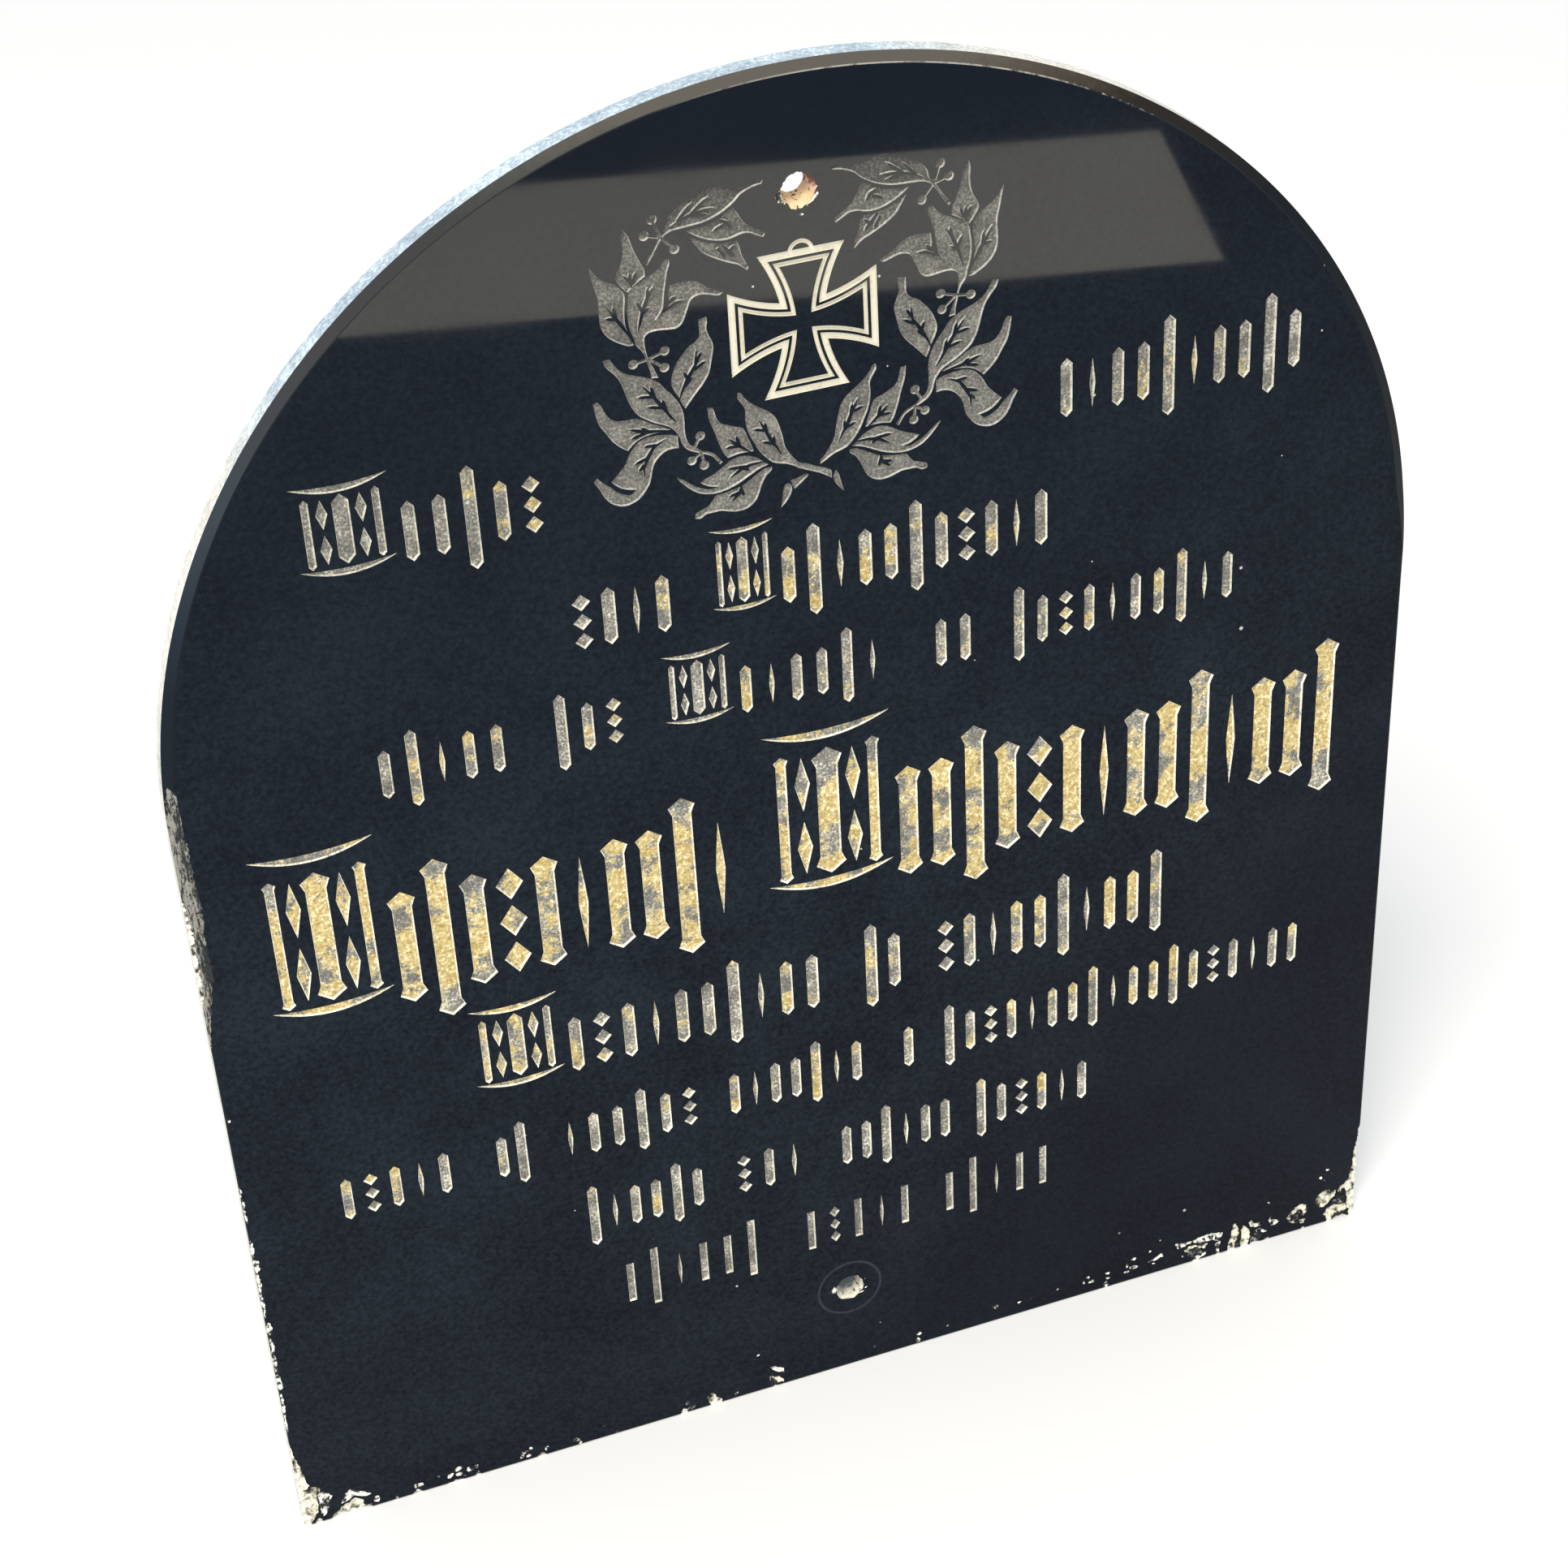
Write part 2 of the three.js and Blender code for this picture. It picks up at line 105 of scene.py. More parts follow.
# Left half of the wreath, mirrored about the cross: each shape's outline, then the slits left standing in
# it, each from its tip to its root. The first slit of a leaf is its midrib.
WREATH = [
    ([(-62.8, 399), (-61.4, 399.3), (-60.5, 397.9), (-59.6, 395.6), (-58.2, 393.4), (-56.6, 392.3),
     (-54.4, 391.9), (-51.2, 391.8), (-48.9, 390.9), (-46.2, 389.1), (-43.5, 387.7), (-40.7, 386.1),
     (-48.5, 385.5), (-50.7, 384.7), (-52.5, 383.4), (-53.8, 382.1), (-56, 383.8), (-58.2, 386.3),
     (-59.8, 389.1), (-61.4, 391.8), (-62.3, 395.2)], [[(-53.3, 388.8), (-48.5, 387), (-40, 385.6)],
     [(-52.8, 385.5), (-48.5, 386.5)], [(-49.6, 388.6), (-47, 386.6)]]),
    ([(-58.9, 411.6), (-56.9, 411.7), (-56, 410), (-54.4, 407.7), (-52.3, 406.1), (-49.8, 405),
     (-47.5, 404.1), (-45.3, 403), (-43.2, 401.4), (-41.4, 398.9), (-39.8, 397), (-38.2, 394.5),
     (-37.1, 392), (-36.6, 389.3), (-36.6, 383.8), (-36.2, 381.5), (-35.5, 380), (-34.1, 379),
     (-32.1, 377.2), (-30.3, 376.5), (-28.7, 375.6), (-27.3, 373.8), (-26, 372.2), (-26.9, 371.5),
     (-27.8, 372.9), (-28.9, 374.5), (-30.7, 375.6), (-32.5, 376.5), (-34.8, 377.5), (-36.6, 378.8),
     (-37.8, 380.9), (-38.5, 383.4), (-39.4, 385), (-40.7, 386.6), (-42.5, 387.7), (-45.3, 389.1),
     (-47.5, 390.6), (-49.8, 392.4), (-51.2, 394.5), (-52.3, 397), (-53.2, 400.2), (-53.9, 402.7),
     (-54.8, 405), (-56.4, 407.3), (-58.2, 409.5)], [[(-48.6, 402), (-45.3, 397.7), (-42.5, 393.4),
     (-40.3, 389.7), (-38.9, 388)], [(-50, 398.1), (-45, 397.3)], [(-47.4, 394.5), (-42.5, 393.3)],
     [(-45.8, 401), (-44.8, 397.2)], [(-42.6, 396.2), (-41.6, 392)]]),
    ([(-30.3, 418.2), (-28, 418.6), (-27.9, 416.8), (-28.2, 415.2), (-27.8, 413.2), (-26.9, 411.1),
     (-26.5, 409.1), (-26.9, 406.8), (-27.5, 404.1), (-28.2, 401.4), (-30, 398.4), (-32.1, 396.1),
     (-34.1, 393.8), (-36, 391.6), (-36.9, 393.4), (-37.6, 395.4), (-38.9, 397.9), (-39.6, 400.4),
     (-38.9, 403.6), (-37.5, 406.4), (-35.7, 408.6), (-33.9, 410.5), (-31.6, 411.8), (-30.5, 413.2),
     (-30.4, 415.5)], [[(-31.6, 409.4), (-32.1, 404.5), (-34.8, 400.5), (-36.6, 397), (-37.8, 394)],
     [(-30, 408.3), (-32, 405.2)], [(-29, 405.2), (-32.6, 403)], [(-35.8, 403.3), (-34.6, 400.4)],
     [(-33, 401.2), (-36.2, 398)]]),
    ([(-38.9, 383.6), (-40.7, 384.3), (-43.5, 384.9), (-46.6, 385.1), (-48.9, 384.9), (-50.6, 384.1),
     (-52, 382.8), (-53.3, 381.2), (-54.1, 379.7), (-55, 377.9), (-56.6, 376.1), (-58.2, 374.5),
     (-59.5, 373.4), (-58.2, 371.9), (-56.6, 370.6), (-54.8, 369.8), (-52.3, 369.2), (-53.9, 368),
     (-55.7, 368.4), (-57.8, 369.6), (-59.4, 371.2), (-60.5, 372.4), (-62.1, 373.8), (-63.5, 375.6),
     (-64.6, 374.5), (-63, 371.5), (-61.9, 369), (-60.3, 366.8), (-58.2, 365.3), (-55.7, 364.7),
     (-53, 365.3), (-51, 366.5), (-49.4, 368.4), (-48.2, 370.2), (-47.5, 372.5), (-47, 374.7),
     (-46.2, 376.5), (-44.8, 378.1), (-43, 379.3), (-40.7, 379.8), (-38.8, 379.6)], [[(-42.3, 383.4),
     (-46.2, 381.5), (-48, 378.8), (-49.6, 375.5), (-49.6, 372.6)], [(-49.2, 382.3), (-45.5, 382)],
     [(-52.4, 377.2), (-48.2, 378.5)], [(-51.2, 374.6), (-49.4, 376.6)]]),
    ([(-14.6, 370.2), (-15.7, 371.1), (-18, 372.2), (-20.7, 372.7), (-23, 372.2), (-24.8, 371.3),
     (-27.1, 369.8), (-29.4, 368.6), (-31.6, 367.8), (-33.2, 367), (-32.1, 366), (-30.3, 365), (-28, 364.4),
     (-30.3, 364.1), (-32.5, 364.9), (-34.8, 366.2), (-36.6, 367.7), (-38.5, 369.3), (-40.1, 370.2),
     (-38.9, 368.4), (-37.5, 366.8), (-35.7, 365), (-33.5, 363.5), (-30.7, 362.6), (-28, 362.4),
     (-24.8, 362.9), (-21.6, 364), (-18.5, 365.6), (-15.3, 367.2), (-12.3, 368.1)], [[(-24.6, 366),
     (-20.7, 368.4), (-17.5, 369.2), (-11.5, 369.4)], [(-25.2, 369.4), (-19.5, 369)], [(-18, 367.4),
     (-20.2, 368.8)]]),
    ([(-11.2, 367), (-11.4, 366.1), (-13, 364.7), (-14.4, 362.5), (-15.3, 360.2), (-16.4, 357.7),
     (-18.2, 355.9), (-20.3, 355), (-23, 355), (-25.3, 355.6), (-27.5, 356.3), (-29.8, 356.3),
     (-32.1, 356.2), (-33.9, 355.2), (-35.5, 355.6), (-35.3, 357), (-33.5, 357.9), (-31.2, 358.8),
     (-29.8, 360.4), (-28.9, 361.6), (-26.2, 361.9), (-23.5, 362.4), (-20.7, 363), (-18, 364.5),
     (-15.3, 366.1), (-13, 367.1)], [[(-24.3, 358.5), (-21.4, 360.9), (-20.6, 364.2)], [(-20.2, 359.3),
     (-21, 362)], [(-24.8, 360.3), (-21.6, 361)]]),
    ([(-20.3, 393.1), (-19.3, 392.7), (-18.6, 391.3), (-17.1, 389.5), (-15.3, 387.9), (-13, 386.3),
     (-11, 384.7), (-9.4, 382.7), (-8.5, 380.2), (-7.8, 377.5), (-7.3, 374.7), (-6.9, 372.5), (-5.7, 370.2),
     (-4.4, 368.2), (-3.1, 366.6), (-2.1, 365.6), (-2.2, 364.5), (-4.4, 365.7), (-6.6, 366.9),
     (-8.9, 367.6), (-10.7, 368.3), (-12.5, 370), (-14.1, 372), (-15.3, 374), (-16.2, 376.1),
     (-17.3, 378.4), (-18, 380.6), (-18.4, 382.9), (-18.5, 385.2), (-18.4, 387.5), (-19.6, 389.9),
     (-20.5, 391.5)], [[(-14.7, 383.5), (-12.8, 379.7), (-11, 375.6), (-9.4, 372.9), (-8.1, 370.4)],
     [(-16.4, 380.3), (-12.6, 379.2)], [(-12.8, 382), (-12.2, 378.6)], [(-13.8, 375.7), (-10.4, 374.4)],
     [(-10.2, 377.3), (-10.2, 373.6)]]),
    ([(-29.6, 390.4), (-28, 390.1), (-27.5, 388.4), (-26.9, 386.1), (-25.7, 384.5), (-23.9, 383.6),
     (-21.6, 382.5), (-19.6, 381.7), (-18.8, 380.4), (-18.1, 378.2), (-17.3, 376), (-16.5, 373.4),
     (-18.9, 373.6), (-21.6, 373.5), (-24.4, 373), (-25.3, 374.3), (-26.2, 376.5), (-27.1, 379.3),
     (-27.8, 382), (-28.7, 384.7), (-29.4, 387.5)], [[(-23.8, 379.1), (-22.1, 377.2), (-19.8, 375.3),
     (-16.8, 372.8)], [(-21.6, 379.6), (-20.7, 376.4)], [(-25, 376.2), (-21, 376.1)]]),
    ([(-50.3, 449.8), (-49.4, 448.4), (-48.5, 446.8), (-47.8, 444.1), (-46.9, 441.4), (-45.7, 438.6),
     (-44.8, 436.4), (-44.7, 434.4), (-46.2, 433.5), (-48, 432.4), (-50, 430.6), (-51.2, 431.9),
     (-52.3, 433.5), (-53.1, 435.5), (-52.5, 437.3), (-51.4, 439.3), (-50.7, 441.8), (-50.5, 444.5),
     (-50.7, 447.7)], [[(-51.1, 436), (-49.4, 433.9), (-48.6, 431.4)], [(-49.2, 436.3), (-48.8, 433)],
     [(-47.2, 436.3), (-48.5, 432.8)]]),
    ([(-60.7, 440.5), (-59.4, 438.4), (-57.8, 436.4), (-55.7, 435), (-53.9, 433.9), (-52.3, 432.2),
     (-51.1, 430.4), (-51, 428.8), (-51.3, 426.4), (-51.5, 423.6), (-51.5, 421.4), (-50.8, 418.2),
     (-50, 415.9), (-49.5, 414.5), (-50.7, 414.4), (-53, 415.5), (-55.3, 417), (-57.3, 419.1),
     (-58.4, 421.4), (-58.8, 424.1), (-58.7, 427.3), (-58.7, 430.5), (-59.4, 433.6), (-60, 436.8)],
     [[(-57.3, 428.9), (-55, 425), (-53, 421.8), (-51, 418.2), (-49.8, 415.4)], [(-57.2, 424),
     (-53.6, 423.2)], [(-54.6, 427.6), (-54, 423.6)]]),
    ([(-38.9, 438.2), (-37.6, 438.2), (-37.5, 436.8), (-38.3, 434.5), (-38.9, 431.8), (-39.5, 429.1),
     (-39.9, 426.4), (-40.5, 423.4), (-42.4, 420.8), (-39.5, 423.4), (-38.4, 425.2), (-38.6, 427.5),
     (-38.2, 430.2), (-36.2, 430.5), (-33.5, 430.5), (-31.2, 430.2), (-29.4, 429.3), (-27.1, 427.5),
     (-24.8, 426.1), (-22.6, 425.1), (-23.7, 424.3), (-25, 424.5), (-27.1, 425.2), (-29.4, 425.6),
     (-31.2, 425.2), (-32.3, 424.3), (-33, 422.7), (-33.9, 420.5), (-35, 418.2), (-36.6, 417), (-38.9, 417),
     (-41.2, 417.3), (-43.5, 417.4), (-45.3, 417), (-46.2, 416.1), (-46.4, 414.1), (-46.2, 411.8),
     (-45.7, 409.5), (-44.8, 407.3), (-43.2, 403), (-45.3, 403.2), (-45.4, 405), (-46, 407.7),
     (-46.6, 410.5), (-47.5, 412.3), (-48.8, 414.1), (-49.3, 416.4), (-50.2, 419.1), (-50.6, 421.8),
     (-50.7, 424.5), (-50.4, 427.3), (-50, 429.8), (-48.9, 431.5), (-46.6, 432.6), (-44.4, 433.9),
     (-42.1, 435), (-40.3, 436.4)], [[(-42.5, 431), (-44.4, 428.2), (-46.2, 424.1), (-47.3, 420.5),
     (-48, 418)], [(-47.9, 427.6), (-46.2, 423.8)], [(-44.2, 431), (-44.6, 427.4)], [(-44, 425),
     (-46.8, 423)], [(-34, 424.9), (-36.6, 424.6), (-40.2, 422.9)], [(-36.5, 426.8), (-38.9, 424.8)]]),
    ([(-9.3, 455.9), (-9.6, 454.9), (-11.6, 454.6), (-13.9, 453.9), (-16.2, 452.7), (-17.5, 451.4),
     (-19.4, 450), (-21.6, 448.7), (-24.4, 447.6), (-27.1, 446.9), (-30.3, 446.6), (-33.5, 446.4),
     (-36.2, 446.2), (-38.3, 445.3), (-39.5, 444), (-40.7, 442.4), (-42.1, 440), (-43.9, 437.5),
     (-44.6, 438.2), (-43.2, 440), (-41.9, 441.8), (-40.5, 444.1), (-39.4, 445.6), (-38.3, 446.8),
     (-37.8, 449.1), (-36.6, 450.9), (-34.4, 452.5), (-31.6, 453.9), (-28.9, 455.2), (-26.6, 456.3),
     (-23.9, 456.6), (-21.2, 456), (-18.5, 455.1), (-15.7, 455.1), (-13, 455.5), (-10.7, 456.3)],
     [[(-23.5, 450.6), (-28, 450.2), (-32, 449.4), (-36.6, 447.4)], [(-25, 454.2), (-30.4, 450)],
     [(-29.8, 453.4), (-34.4, 448.6)], [(-25.2, 448.9), (-30.6, 449.5)]]),
    ([(-32.1, 445.4), (-29.8, 445.5), (-27.1, 445.7), (-24.4, 446.3), (-21.6, 447.6), (-19.8, 448.8),
     (-18.2, 449.5), (-17.3, 448), (-16.2, 445.9), (-14.8, 443.9), (-13, 442.5), (-11.2, 441.4),
     (-9.4, 440), (-10, 439.1), (-11.9, 440), (-13.9, 441.1), (-16.2, 441.3), (-18.5, 440.7),
     (-20.7, 440.4), (-23.5, 440.7), (-26.2, 441.6), (-28.5, 442.7), (-30.5, 444.1)], [[(-19, 443.3),
     (-20.5, 445.5), (-23, 447.2)], [(-24.6, 443.6), (-21, 445)]]),
    ([(-31.2, 443.4), (-28.9, 442), (-26.2, 440.7), (-23.5, 439.9), (-20.8, 439.5), (-17.8, 439.5),
     (-17.1, 437.7), (-16.6, 435.2), (-15.7, 433), (-14.7, 430.9), (-15.3, 430.2), (-17.8, 432.3),
     (-20.3, 433.4), (-23, 434.8), (-25.7, 436.4), (-28, 438.2), (-29.6, 440.5)], [[(-18.3, 434.8),
     (-20.5, 437), (-22.8, 440.2)], [(-21.2, 435), (-23.4, 438.4)], [(-18.2, 438.4), (-20.4, 436.6)]]),
]
# Where the branches cross, the left one lies on top and the right one comes out again below it.
CROSSING = [
    [(-4, 367.2), (-2, 366.1), (0, 365.4), (2, 364.2), (4, 363.4), (6, 362.4), (6.8, 361.7), (6.9, 359.1),
     (5.5, 360.2), (3.5, 361.5), (1.5, 362.5), (0, 363.2), (-2, 364.2), (-4, 365.5)],
    [(-5.8, 361.2), (-3.6, 361.6), (-0.9, 362.4), (-0.2, 361.8), (-1.6, 360.5), (-4.7, 358.2),
     (-5.4, 359.6)],
    [(-7.6, 360.2), (-6.6, 360.5), (-5.7, 359.6), (-5.5, 358.2), (-6.2, 356.3), (-7.6, 354.4),
     (-9.2, 352.9), (-8.6, 356), (-8.2, 358.6)],
    [(8.2, 361.5), (9, 360.2), (9.6, 357.8), (10.5, 353.9), (9.2, 355.5), (8, 357.2), (7.5, 358.6),
     (7.5, 360.2)],
]
CORNER_TURN = 1.05
TIP_REACH = 2.0
OUTLINE_STEPS = 3
SLIT_STEPS = 4
SLIT_BULGE = 0.7
MIDRIB_HALF = 0.6
BARB_HALF = 0.5
SLIT_RUN = 0.12
WREATH_RUN = 0.2

# Berries: each spray's node, then its berries.
BERRY_SPRAYS = [
    ((-34.2, 378.6), [(-32.2, 382)]), ((-32.2, 376.6), [(-35.2, 374.6), (-31.6, 372.3)]), ((-45.6, 409.3),
    [(-40.8, 410.8), (-50.2, 408.6), (-41.2, 405.7)]), ((-39.6, 445), [(-44.2, 446.3), (-41.6, 450.6),
    (-35.8, 440.7)]),
]
BERRY_RADIUS = 1.45
BERRY_STEM = 0.9
BERRY_SIDES = 16

# Rows of engraved strokes from the top down: foot line, stroke height, how far a long stroke passes both
# ends, stroke width, pitch, kind of stroke ends, and share of gilding left. Then the row's groups, each
# its left and right end, with the width of the ornament at its head where it has one.
ROWS = [
    (362, 19.5, 7, 3.8, 8.1, "point", 0.38, [(-151, -78.5, 28), (77.5, 161, 0)]),
    (320, 19.5, 6, 4, 8.4, "point", 0.43, [(-76, -43, 0), (-32, 77.5, 20)]),
    (285, 17, 5, 3.4, 8, "point", 0.4, [(-139.5, -97, 0), (-85.5, -61, 0), (-49.5, 21.5, 22), (36, 52, 0),
     (62, 141, 0)]),
    (209, 42, 9, 6.2, 11, "lozenge", 0.57, [(-180, -30, 38), (-20, 180, 42)]),
    (165, 22, 6, 4, 8.5, "point", 0.46, [(-121, -3, 29), (9, 25, 0), (35, 119, 0)]),
    (129.5, 17, 4.5, 3.3, 7.6, "point", 0.44, [(-171, -131, 0), (-119, -106, 0), (-97, -48, 0),
     (-40, 10, 0), (20, 30, 0), (36, 171, 0)]),
    (94, 17, 4.5, 3.3, 7.6, "point", 0.4, [(-91.5, -48, 0), (-39.5, -13, 0), (-2, 41, 0), (47, 92, 0)]),
    (60, 17, 4, 2.6, 8.4, "flat", 0.28, [(-82, -30, 0), (-17, 26, 0), (34, 78, 0)]),
]
RHYTHM = ["full", "full", "long", "full", "stack", "full", "thin", "full", "full", "long", "thin"]
THIN_STROKE = 0.25
POINT_PER_WIDTH = 0.5
LOZENGE_SPREAD = 1.4
STACK_COUNT = 3
STACK_HALF_WIDTH = 0.7
LOZENGE_FILL = 0.42

# An ornament: a broad bar between two slim ones, lozenges in the gaps, a sagging swash at each end.
ORNAMENT_PER_HEIGHT = 1.55
ORNAMENT_CORE = 0.74
ORNAMENT_BROAD = 0.17
ORNAMENT_SLIM = 0.08
ORNAMENT_GAP_PLACE = 0.2
ORNAMENT_SIDE_PLACE = 0.36
ORNAMENT_CHAIN = 2
CHAIN_HALF_WIDTH = 0.06
SWASH_SAG = 0.12
SWASH_THICKNESS = 0.08
SWASH_STEPS = 16

